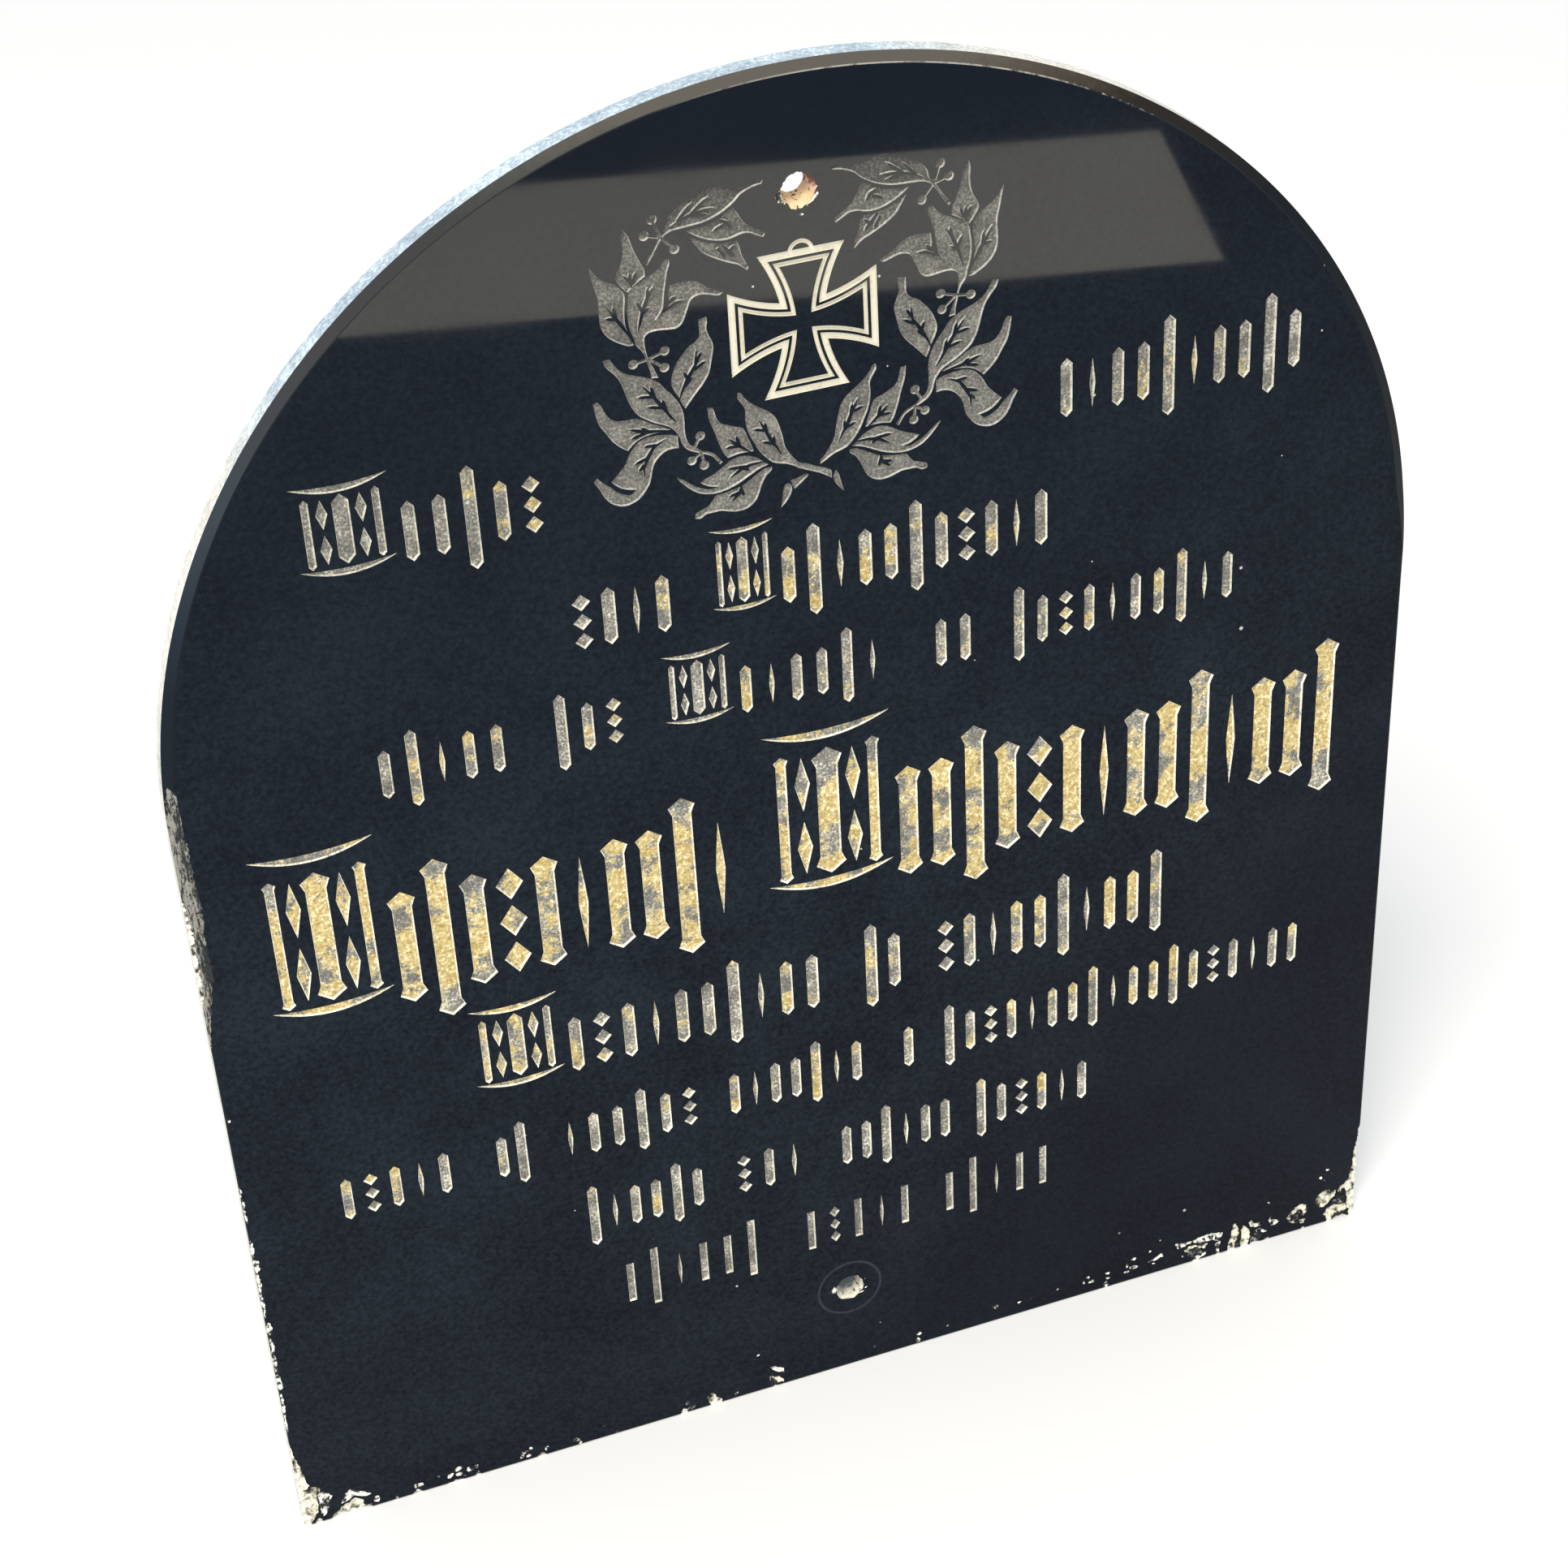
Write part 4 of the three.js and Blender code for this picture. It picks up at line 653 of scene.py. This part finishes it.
def ground_strip(name):
    """The ground left edge: streaks along it, darker inwards and paler towards the outer edge."""
    m = Finish(name)
    streaks = m.add(m.noise(0.8, 4, 0.65, 6), m.noise(5, 3, 0.6, 4), 0.7)
    tone = m.add(streaks, m.along("X", STRIP_INNER * MM, -HALF_WIDTH * MM), 0.16)
    colour = m.ramp(tone, [(0.87, (0.006, 0.009, 0.012)), (0.92, (0.03, 0.031, 0.03)),
                           (0.97, (0.105, 0.103, 0.093)), (1.0, (0.24, 0.232, 0.205))])
    m.surface(colour, 0.45, 0.4, (m.noise(0.5, 4, 0.7, 5), 0.15))


def plastered_bore(name, share_by, stops, pit):
    """The wall of a screw hole: its colour by height or depth, with dark pits."""
    m = Finish(name)
    wall = m.ramp(m.add(m.along(*share_by), m.noise(2.2, 4, 0.7), 0.6), stops)
    pits = m.ramp(m.noise(1.5, 3, 0.6), [(0.37, 1), (0.43, 0)])
    m.surface(m.blend(pits, wall, pit), 0.8, relief=(m.noise(0.9, 4, 0.7), 0.5))


def make_materials():
    polished_glass("face")
    dull_back("back")
    honed_edge("edge")
    bevelled_glass("bevel")
    arris_with_highlight("arris")
    etched_glass("etched")
    worn_gilding("gilding")
    gilded_rim("gilding_rim")
    cream_paint("cream")
    ground_strip("ground")
    broken_glass("break", 1.5, [(0.8, (0.006, 0.01, 0.012)), (0.89, (0.05, 0.058, 0.057)),
                                (0.98, (0.36, 0.35, 0.31))])
    broken_glass("shard", 1.9, [(0.7, (0.01, 0.013, 0.015)), (0.74, (0.14, 0.14, 0.13)),
                                (0.78, (0.45, 0.44, 0.4)), (0.86, (0.98, 0.96, 0.87))])
    broken_glass("flaked", 2.6, [(0.63, (0.012, 0.015, 0.014)), (0.67, (0.14, 0.135, 0.11)),
                                 (0.74, (0.38, 0.365, 0.29)), (0.85, (0.9, 0.87, 0.72))])
    # The top hole's wall: a rust stain, peach below, with painted shade darkening the upper wall to maroon
    # and near black.
    bottom = low.z + (TOP_HOLE["height"] - TOP_HOLE["radius"]) * MM
    plastered_bore("rust_and_shade", ("Z", bottom, bottom + 2 * TOP_HOLE["radius"] * MM),
                   [(0.4, (0.92, 0.7, 0.42)), (0.62, (0.8, 0.54, 0.32)), (0.75, (0.82, 0.6, 0.48)),
                    (0.9, (0.3, 0.125, 0.085)), (1.0, (0.1, 0.04, 0.03))], (0.12, 0.065, 0.02))
    plastered_bore("lime", ("Y", low.y, high.y + LIME_BEHIND * MM),
                   [(0.35, (0.8, 0.77, 0.65)), (0.58, (0.55, 0.51, 0.43)), (0.69, (0.42, 0.4, 0.35)),
                    (0.75, (0.17, 0.2, 0.205)), (0.9, (0.13, 0.165, 0.175))], (0.1, 0.1, 0.09))
    ground_glass("scuff", (0.012, 0.0175, 0.026), (0.005, 0.0085, 0.0135), 1.4)
    ground_glass("etched_rim", (0.6, 0.59, 0.54), (0.22, 0.215, 0.2), 0.9)


def place(x, height, depth):
    """A point of the plaque in the frame's metres."""
    return (x * MM, -depth * MM, low.z + height * MM)


def triangulate(mesh):
    """Splits all faces into triangles, so that every cut stays within a small face."""
    shape = bmesh.new()
    shape.from_mesh(mesh)
    bmesh.ops.triangulate(shape, faces=shape.faces)
    shape.to_mesh(mesh)
    shape.free()


def linked(name, data):
    """A new object in the scene."""
    piece = bpy.data.objects.new(name, data)
    bpy.context.scene.collection.objects.link(piece)
    return piece


class Shells:
    """Closed shells gathered into one mesh, each face with its finish."""

    def __init__(self):
        self.points = []
        self.faces = []
        self.finishes = []

    def add(self, points, faces, finish):
        """Starts a new shell."""
        self.points += [place(*p) for p in points]
        self.more(len(points), faces, finish)

    def more(self, count, faces, finish):
        """Adds faces to the last shell, which has count points."""
        start = len(self.points) - count
        self.faces += [[start + i for i in face] for face in faces]
        self.finishes += [FINISHES.index(finish)] * len(faces)

    def made(self, name):
        mesh = bpy.data.meshes.new(name)
        mesh.from_pydata(self.points, [], self.faces)
        for finish in FINISHES:
            mesh.materials.append(bpy.data.materials[finish])
        mesh.polygons.foreach_set("material_index", self.finishes)
        triangulate(mesh)
        return linked(name, mesh)


def combine(target, other, operation="DIFFERENCE"):
    """Cuts the other solid from the target, or joins it, and keeps the result in the target."""
    change = target.modifiers.new("change", "BOOLEAN")
    change.operation = operation
    change.solver = "MANIFOLD"
    change.object = other
    ready = target.evaluated_get(bpy.context.evaluated_depsgraph_get())
    mesh = bpy.data.meshes.new_from_object(ready)
    target.modifiers.remove(change)
    target.data = mesh
    bpy.data.objects.remove(other)


def ring_faces(first, second, count):
    """Quads between two closed rings of points, given by their first indices."""
    steps = [(i, (i + 1) % count) for i in range(count)]
    return [(first + i, first + j, second + j, second + i) for i, j in steps]


def circle(x, z, half_x, half_z, sides):
    """A round or oval outline."""
    angles = [2 * math.pi * i / sides for i in range(sides)]
    return [(x + half_x * math.cos(a), z + half_z * math.sin(a)) for a in angles]


def moved_out(points, distance, shares=None):
    """A closed outline moved out by a distance, its sharp points held to a few times that. The shares,
    where given, say how much of it each point moves."""
    result = []
    for i, point in enumerate(points):
        before = (point - points[i - 1]).normalized()
        after = (points[(i + 1) % len(points)] - point).normalized()
        out = Vector((before.y + after.y, -before.x - after.x))
        reach = min(2 / out.length_squared, MITRE / out.length) if out.length > TINY else 0
        result.append(point + out * distance * reach * (shares[i] if shares else 1))
    return result


def chords_of(loop):
    """The step from each point of a closed outline to the next."""
    return [loop[(i + 1) % len(loop)] - point for i, point in enumerate(loop)]


def lean_shares(loop):
    """How far the wall at each point of a left-turning outline leans: not at a tip, fully away from it."""
    chords = chords_of(loop)
    tips = [point for i, point in enumerate(loop) if chords[i].angle_signed(chords[i - 1]) > CORNER_TURN]
    return [min([1] + [(point - tip).length / TIP_REACH for tip in tips]) for point in loop]


def outline(points):
    """Points as vectors, turning left."""
    loop = [Vector(p) for p in points]
    area = sum(p.x * q.y - q.x * p.y for p, q in zip(loop, loop[1:] + loop[:1]))
    return loop if area > 0 else loop[::-1]


def engrave(shells, points, finish, depth=ENGRAVING_DEPTH, run=WALL_RUN, past=0.0, steep_tips=False):
    """Adds a cutter for one shape of the face: a floor at the depth, and walls that lean by the run.
    Past takes the floor and the lip further, for a shape that is cut from another cutter."""
    loop = outline(points)
    count = len(loop)
    slope = run / depth
    shares = lean_shares(loop) if steep_tips else None
    floor = moved_out(loop, -slope * (depth + past), shares)
    lip = moved_out(loop, slope * (CLEARANCE + past), shares)
    rings = [(*p, THICKNESS - depth - past) for p in floor]
    rings += [(*p, THICKNESS + CLEARANCE + past) for p in lip]
    shells.add(rings, [list(range(count))[::-1], list(range(count, 2 * count))], finish[0])
    shells.more(2 * count, ring_faces(0, count, count), finish[1])


def engrave_band(shells, outer, inner, finish, depth=ENGRAVING_DEPTH, run=WALL_RUN):
    """Adds a cutter for the band between two outlines of as many points."""
    count = len(outer)
    rings = []
    for loop, side in ((outline(outer), 1), (outline(inner), -1)):
        rings += [(*p, THICKNESS - depth) for p in moved_out(loop, -run * side)]
        rings += [(*p, THICKNESS + CLEARANCE) for p in moved_out(loop, side * run * CLEARANCE / depth)]
    outer_floor, outer_lip, inner_floor, inner_lip = (i * count for i in range(4))
    level = ring_faces(outer_lip, inner_lip, count) + ring_faces(inner_floor, outer_floor, count)
    walls = ring_faces(outer_floor, outer_lip, count) + ring_faces(inner_lip, inner_floor, count)
    shells.add(rings, level, finish[0])
    shells.more(4 * count, walls, finish[1])


def straight(start, end, step):
    """Points at about a step from a start up to, but without, an end."""
    a, b = Vector(start), Vector(end)
    steps = max(1, round((b - a).length / step))
    return [a.lerp(b, i / steps) for i in range(steps)]


def face_grid():
    """Evenly spaced points of the face, clear of its rim."""
    grid = []
    for i in range(int(-HALF_WIDTH / FACE_GRID), int(HALF_WIDTH / FACE_GRID) + 1):
        for j in range(1, int(HEIGHT / FACE_GRID)):
            point = Vector((i * FACE_GRID, j * FACE_GRID))
            from_side = HALF_WIDTH - Vector((point.x, max(0, point.y - ARCH_CENTRE))).length
            if from_side > FACE_GRID:
                grid.append(point)
    return grid


def slab():
    """The arched slab: ground sides, a bevel along the arch that dies out into a fine arris below it."""
    arch = [math.pi * i / ARCH_STEPS for i in range(ARCH_STEPS + 1)]
    corners = [(-HALF_WIDTH, 0), (HALF_WIDTH, 0), (HALF_WIDTH, ARCH_CENTRE)]
    rim = straight(*corners[:2], FACE_GRID) + straight(*corners[1:], FACE_GRID)
    rim += [Vector((HALF_WIDTH * math.cos(a), ARCH_CENTRE + HALF_WIDTH * math.sin(a))) for a in arch]
    rim += straight((-HALF_WIDTH, ARCH_CENTRE), corners[0], FACE_GRID)[1:]
    share = [min(max((p.y - ARCH_CENTRE) / BEVEL_FADE, 0), 1) for p in rim]
    drawn_in = moved_out(rim, -1)
    bevel_in = [ARRIS + (BEVEL_WIDTH - ARRIS) * s for s in share]
    bevel_down = [ARRIS + (BEVEL_DEPTH - ARRIS) * s for s in share]
    count = len(rim)
    points = [(*p.lerp(q, ARRIS), 0) for p, q in zip(rim, drawn_in)]
    points += [(*p, ARRIS) for p in rim]
    points += [(*p, THICKNESS - d) for p, d in zip(rim, bevel_down)]
    points += [(*p.lerp(q, w), THICKNESS) for p, q, w in zip(rim, drawn_in, bevel_in)]
    face_rim = [p.lerp(q, w + ARRIS_LINE) for p, q, w in zip(rim, drawn_in, bevel_in)]
    flat, _, faces, _, _, _ = delaunay_2d_cdt(face_rim + face_grid(), [], [list(range(count))], 1, TINY)
    points += [(*p, THICKNESS) for p in flat]
    shells = Shells()
    shells.add(points, [list(range(count))[::-1]], "back")
    for ring, finish in enumerate(["edge", "edge", "bevel", "arris"]):
        shells.more(len(points), ring_faces(ring * count, (ring + 1) * count, count), finish)
    shells.more(len(points), [[4 * count + i for i in face] for face in faces], "face")
    return shells.made("plaque_glass")


def bore(x, height, radius, back_radius, flare, finish, seed):
    """A drilled hole with a rough wall that narrows to the back and a flaked front rim."""
    points = []
    for ring in range(HOLE_RINGS + 1):
        depth = -CLEARANCE + (THICKNESS + 2 * CLEARANCE) * ring / HOLE_RINGS
        open_by = flare * max(0, 1 - (THICKNESS - depth) / RIM_FLARE_DEPTH)
        bare = back_radius + (radius - back_radius) * depth / THICKNESS
        middle = height + HOLE_BACK_RISE * (1 - depth / THICKNESS)
        for across, up in circle(0, 0, 1, 1, HOLE_SEGMENTS):
            spot = Vector((across * WAVES_AROUND + seed, up * WAVES_AROUND, depth * WAVES_ALONG))
            uneven = noise.fractal(spot, WAVE_FALL, WAVE_STEP, WAVE_LAYERS)
            reach = bare + HOLE_ROUGHNESS * uneven + open_by * (1 + 2 * uneven)
            points.append((x + reach * across, middle + reach * up, depth))
    last = HOLE_RINGS * HOLE_SEGMENTS
    faces = [list(range(HOLE_SEGMENTS))[::-1], list(range(last, last + HOLE_SEGMENTS))]
    for ring in range(HOLE_RINGS):
        faces += ring_faces(ring * HOLE_SEGMENTS, (ring + 1) * HOLE_SEGMENTS, HOLE_SEGMENTS)
    shells = Shells()
    shells.add(points, faces, finish)
    return shells.made("bore")


def rough_outline(points, seed):
    """The points joined in short steps and shaken a little."""
    loop = []
    for start, end in zip(points, points[1:] + points[:1]):
        loop += straight(start, end, FLAKE_STEP)
    shaken = [noise.noise_vector(Vector((p.x * RIM_WAVES, p.y * RIM_WAVES, seed))).xy for p in loop]
    return [p + FLAKE_JITTER * shift for p, shift in zip(loop, shaken)]


def flake(finish, depth, points, seed):
    """A cutter with a rough faceted floor that rises to its rim."""
    loop = rough_outline(points, seed)
    chance = random.Random(seed)
    left, right = min(p.x for p in loop), max(p.x for p in loop)
    bottom, top = min(p.y for p in loop), max(p.y for p in loop)
    inner = []
    for i in range(int((right - left) / FLAKE_GRID)):
        for j in range(int((top - bottom) / FLAKE_GRID)):
            x = left + (i + chance.random()) * FLAKE_GRID
            inner.append(Vector((x, bottom + (j + chance.random()) * FLAKE_GRID)))
    flat, _, faces, origins, _, _ = delaunay_2d_cdt(loop + inner, [], [list(range(len(loop)))], 1, TINY)
    floor = []
    for p, origin in zip(flat, origins):
        on_rim = not origin or min(origin) < len(loop)
        spot = Vector((p.x * FLOOR_WAVES, p.y * FLOOR_WAVES, seed))
        share = FLAKE_RIM if on_rim else 1 + noise.noise(spot)
        floor.append((*p, THICKNESS - depth * share))
    count = len(flat)
    lip = [(*p, THICKNESS + CLEARANCE) for p in flat]
    sides = {(a, b) for face in faces for a, b in zip(face, face[1:] + face[:1])}
    walls = [(a, b, count + b, count + a) for a, b in sides if (b, a) not in sides]
    level = [face[::-1] for face in faces] + [[count + i for i in face] for face in faces]
    shells = Shells()
    shells.add(floor + lip, level + walls, finish)
    return shells.made("flake")


def break_edges(piece):
    """Cuts every broken place and every small chip."""
    chips = [("shard", CHIP_DEPTH, circle(*chip, CHIP_SIDES)) for chip in CHIPS]
    for seed, (finish, depth, points) in enumerate(FLAKES + chips):
        combine(piece, flake(finish, depth, points, seed))


def quadratic(start, control, end):
    """Points of a quadratic curve after its start."""
    steps = [i / CURVE_STEPS for i in range(1, CURVE_STEPS + 1)]
    return [start * (1 - t) ** 2 + control * 2 * t * (1 - t) + end * t * t for t in steps]


def cross_outline(inset):
    """One outline of the cross, drawn in by the inset: four flared arms with hollow sides."""
    half = CROSS_HALF - inset
    tip = CROSS_TIP - inset * TIP_PER_INSET
    waist = CROSS_WAIST - inset * WAIST_PER_INSET
    mid = (half + waist) / 2
    side = (tip + waist) / 2 - CROSS_HOLLOW
    quarter = [Vector((half, tip))]
    quarter += quadratic(Vector((half, tip)), Vector((mid, side)), Vector((waist, waist)))
    quarter += quadratic(Vector((waist, waist)), Vector((side, mid)), Vector((tip, half)))
    points = []
    for turn in range(4):
        for p in quarter:
            x, z = [(p.x, p.y), (-p.y, p.x), (-p.x, -p.y), (p.y, -p.x)][turn]
            points.append(Vector((CROSS_X + x, CROSS_HEIGHT + z)))
    return points


def cross_cutter():
    shells = Shells()
    for outer, inner in CROSS_BANDS:
        engrave_band(shells, cross_outline(outer), cross_outline(inner), CREAM, run=CROSS_RUN)
    return shells.made("cross")


def ring_cutter():
    """The half ring that the cross hangs from."""
    foot = CROSS_HEIGHT + CROSS_HALF - CROSS_BANDS[0][1] / 2
    angles = [math.pi * i / (2 * CURVE_STEPS) for i in range(2 * CURVE_STEPS + 1)]
    outer = [(CROSS_X + RING_RADIUS * math.cos(a), foot + RING_RADIUS * math.sin(a)) for a in angles]
    inside = RING_RADIUS - RING_WALL
    inner = [(CROSS_X + inside * math.cos(a), foot + inside * math.sin(a)) for a in reversed(angles)]
    shells = Shells()
    engrave(shells, outer + inner, CREAM, run=CROSS_RUN)
    return shells.made("ring")


def smooth(points):
    """A closed curve through the points, sharp where they turn strongly."""
    knots = [Vector(p) for p in points]
    chords = chords_of(knots)
    turns = [abs(chords[i - 1].angle_signed(chord)) for i, chord in enumerate(chords)]
    result = []
    for i, chord in enumerate(chords):
        following = (i + 1) % len(knots)
        before, here, after = (c.normalized() for c in (chords[i - 1], chord, chords[following]))
        leave = here if turns[i] > CORNER_TURN else (before + here).normalized()
        arrive = here if turns[following] > CORNER_TURN else (here + after).normalized()
        leave, arrive = leave * chord.length, arrive * chord.length
        for step in range(OUTLINE_STEPS):
            t = step / OUTLINE_STEPS
            rise = t * t * (3 - 2 * t)
            result.append(knots[i] + chord * rise + leave * (t * (1 - t) ** 2) - arrive * (t * t * (1 - t)))
    return result


def slit_outline(path, half, end_half):
    """A slit along a path: pointed at its tip, half wide in its middle, and end_half at its root."""
    knots = [Vector(p) for p in path]
    centres = []
    for start, end in zip(knots, knots[1:]):
        centres += [start.lerp(end, step / SLIT_STEPS) for step in range(SLIT_STEPS)]
    centres.append(knots[-1])
    last = len(centres) - 1
    left, right = [], []
    for i, centre in enumerate(centres):
        along = (centres[min(i + 1, last)] - centres[max(i - 1, 0)]).normalized()
        share = i / last
        if share < 0.5:
            width = half * math.sin(math.pi * share) ** SLIT_BULGE
        else:
            width = half + (end_half - half) * (2 * share - 1)
        left.append(centre + Vector((-along.y, along.x)) * width)
        right.append(centre - Vector((-along.y, along.x)) * width)
    return [centres[0]] + right[1:] + left[:0:-1]


def etched(points, run=WREATH_RUN, past=0.0):
    """One shape of the wreath as a cutter of its own."""
    shells = Shells()
    engrave(shells, points, ETCHED, run=run, past=past, steep_tips=True)
    return shells.made("shape")


def ribbon(start, end, width):
    """The outline of a straight band."""
    aside = Vector((start[1] - end[1], end[0] - start[0])).normalized() * width / 2
    a, b = Vector(start), Vector(end)
    return [a - aside, b - aside, b + aside, a + aside]


def wreath_half():
    """The leaves and stalks of one branch with their slits, and its berries."""
    half = None
    for shape, slits in WREATH:
        cutter = etched(smooth(shape))
        for i, slit in enumerate(slits):
            widths = (BARB_HALF, BARB_HALF) if i else (MIDRIB_HALF, SLIT_RUN)
            combine(cutter, etched(slit_outline(slit, *widths), -SLIT_RUN, CLEARANCE))
        if half:
            combine(half, cutter, "UNION")
        else:
            half = cutter
    for node, berries in BERRY_SPRAYS:
        for berry in berries:
            combine(half, etched(ribbon(node, berry, BERRY_STEM)), "UNION")
            combine(half, etched(circle(*berry, BERRY_RADIUS, BERRY_RADIUS, BERRY_SIDES)), "UNION")
    return half


def mirrored(half):
    """A copy of the wreath's half on the other side of the cross."""
    other = linked("mirrored", half.data.copy())
    for vertex in other.data.vertices:
        vertex.co.x = 2 * CROSS_X * MM - vertex.co.x
    other.data.flip_normals()
    return other


def bar_outline(x, bottom, top, width, ends):
    """An upright stroke whose two ends are flat, pointed or spread into lozenges."""
    half = width / 2
    point = width * POINT_PER_WIDTH
    foot = {
        "flat": [(half, 0)],
        "point": [(0, 0), (half, point)],
        "lozenge": [(0, 0), (half * LOZENGE_SPREAD, point), (half, 2 * point)],
    }[ends]
    rising = [(dx, bottom + dz) for dx, dz in foot] + [(dx, top - dz) for dx, dz in reversed(foot)]
    falling = [(-dx, z) for dx, z in reversed(rising) if dx > 0]
    return [(x + dx, z) for dx, z in rising + falling]


def lozenge_chain(x, bottom, top, count, half_width):
    step = (top - bottom) / count
    reach = LOZENGE_FILL * step
    chain = []
    for i in range(count):
        z = bottom + (i + 0.5) * step
        chain.append([(x, z - reach), (x + half_width, z), (x, z + reach), (x - half_width, z)])
    return chain


def swash_outline(x, z, width):
    """A level crescent that sags in the middle and is pointed at both ends."""
    sides = [2 * i / SWASH_STEPS - 1 for i in range(SWASH_STEPS + 1)]
    lower = [(x + s * width / 2, z - SWASH_SAG * width * (1 - s * s)) for s in sides]
    thin = SWASH_SAG - SWASH_THICKNESS
    upper = [(x + s * width / 2, z - thin * width * (1 - s * s)) for s in reversed(sides[1:-1])]
    return lower + upper


def ornament_outlines(row, start, width):
    """The bars and lozenges of an ornament, and its two swashes."""
    foot, tall, _, _, _, ends, _, _ = row
    centre = start + width / 2
    height = tall * ORNAMENT_PER_HEIGHT
    bottom = foot + height * (1 - ORNAMENT_CORE) / 2
    top = foot + height * (1 + ORNAMENT_CORE) / 2
    shapes = [bar_outline(centre, bottom, top, ORNAMENT_BROAD * width, ends)]
    for side in (-1, 1):
        bar_x = centre + side * ORNAMENT_SIDE_PLACE * width
        chain_x = centre + side * ORNAMENT_GAP_PLACE * width
        shapes.append(bar_outline(bar_x, bottom, top, ORNAMENT_SLIM * width, ends))
        shapes += lozenge_chain(chain_x, bottom, top, ORNAMENT_CHAIN, CHAIN_HALF_WIDTH * width)
    swashes = [swash_outline(centre, bottom, width), swash_outline(centre, foot + height, width)]
    return shapes, swashes


def stroke_outlines(row, kind, x):
    foot, tall, past, width, _, ends, _, _ = row
    if kind == "stack":
        return lozenge_chain(x, foot, foot + tall, STACK_COUNT, width * STACK_HALF_WIDTH)
    if kind == "thin":
        return lozenge_chain(x, foot, foot + tall, 1, width * THIN_STROKE)
    beyond = past if kind == "long" else 0
    return [bar_outline(x, foot - beyond, foot + tall + beyond, width, ends)]


def row_cutters():
    """The strokes and ornaments of all rows, and apart from them the swashes."""
    strokes, swashes = Shells(), Shells()
    beat = 0
    for row in ROWS:
        *_, pitch, _, _, groups = row
        for start, end, head in groups:
            shapes = []
            if head > 0:
                shapes, crescents = ornament_outlines(row, start, head)
                for shape in crescents:
                    engrave(swashes, shape, GILDED, run=WALL_RUN / 2)
            room = end - start - head
            count = max(1, round(room / pitch))
            for i in range(count):
                x = start + head + (i + 0.5) * room / count
                shapes += stroke_outlines(row, RHYTHM[beat % len(RHYTHM)], x)
                beat += 1
            for shape in shapes:
                engrave(strokes, shape, GILDED)
    return [strokes.made("strokes"), swashes.made("swashes")]


def scuff_cutters():
    """Scratches on the face, and the ring that a washer wore around the bottom hole."""
    shells = Shells()
    for x0, z0, x1, z1, width in SCRATCHES:
        start, end = Vector((x0, z0)), Vector((x1, z1))
        aside = Vector((z1 - z0, x0 - x1)).normalized() * width / 2
        middle = (start + end) / 2
        engrave(shells, [start, middle + aside, end, middle - aside], SCUFF, SCUFF_DEPTH, SCUFF_DEPTH / 2)
    middle = (BOTTOM_HOLE["x"], BOTTOM_HOLE["height"])
    rings = [circle(*middle, r, r, HOLE_SEGMENTS) for r in (WASHER_RADIUS, WASHER_RADIUS - WASHER_LINE)]
    engrave_band(shells, *rings, SCUFF, SCUFF_DEPTH, SCUFF_DEPTH / 2)
    return shells.made("scuffs")


def make_plaque():
    piece = slab()
    break_edges(piece)
    combine(piece, scuff_cutters())
    combine(piece, bore(**TOP_HOLE))
    combine(piece, bore(**BOTTOM_HOLE))
    for cutter in [cross_cutter(), ring_cutter(), *row_cutters()]:
        combine(piece, cutter)
    half = wreath_half()
    other = mirrored(half)
    for shape in CROSSING:
        combine(half, etched(smooth(shape)), "UNION")
    combine(piece, half)
    combine(piece, other)
    for face in piece.data.polygons:
        face.use_smooth = FINISHES[face.material_index] in ROUNDED
    piece.data.set_sharp_from_angle(angle=SHARP_EDGE)
    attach(piece, "root")
    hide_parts("plaque")


def make_camera():
    camera = bpy.data.cameras.new("camera")
    camera.lens = CAMERA_LENS
    holder = linked("camera", camera)
    holder.location = place(*CAMERA_PLACE)
    holder.rotation_euler = Euler([math.radians(a) for a in CAMERA_TURN])
    bpy.context.scene.camera = holder


def make_floor():
    mesh = bpy.data.meshes.new("floor")
    signs = [(-1, -1), (1, -1), (1, 1), (-1, 1)]
    corners = [(x * FLOOR_HALF, y * FLOOR_HALF, low.z - FLOOR_DROP) for x, y in signs]
    mesh.from_pydata(corners, [], [(0, 1, 2, 3)])
    Finish("floor").surface(FLOOR_COLOUR, 0.9, LOW_GLOSS)
    mesh.materials.append(bpy.data.materials["floor"])
    linked("floor", mesh)


def area_light(name, place_at, target, size, power, colour):
    light = bpy.data.lights.new(name, "AREA")
    light.shape = "RECTANGLE"
    light.size, light.size_y = size
    light.energy = power
    light.color = colour
    holder = linked(name, light)
    holder.location = place_at
    holder.rotation_euler = (Vector(target) - Vector(place_at)).to_track_quat("-Z", "Y").to_euler()
    holder.visible_camera = False
    return holder


def make_light():
    world = bpy.data.worlds.new("studio")
    world.use_nodes = True
    sky = world.node_tree.nodes["Background"]
    sky.inputs["Color"].default_value = SKY_COLOUR
    sky.inputs["Strength"].default_value = SKY_STRENGTH
    bpy.context.scene.world = world
    area_light("key", KEY_PLACE, (0, 0, 0), KEY_SIZE, KEY_POWER, KEY_COLOUR)
    strip = area_light("strip", STRIP_PLACE, STRIP_TARGET, STRIP_SIZE, STRIP_POWER, STRIP_COLOUR)
    strip.rotation_euler.rotate_axis("Z", STRIP_TURN)
    bpy.context.scene.view_settings.view_transform = "Standard"


noise.seed_set(NOISE_SEED)
make_materials()
make_camera()
make_floor()
make_light()
make_plaque()
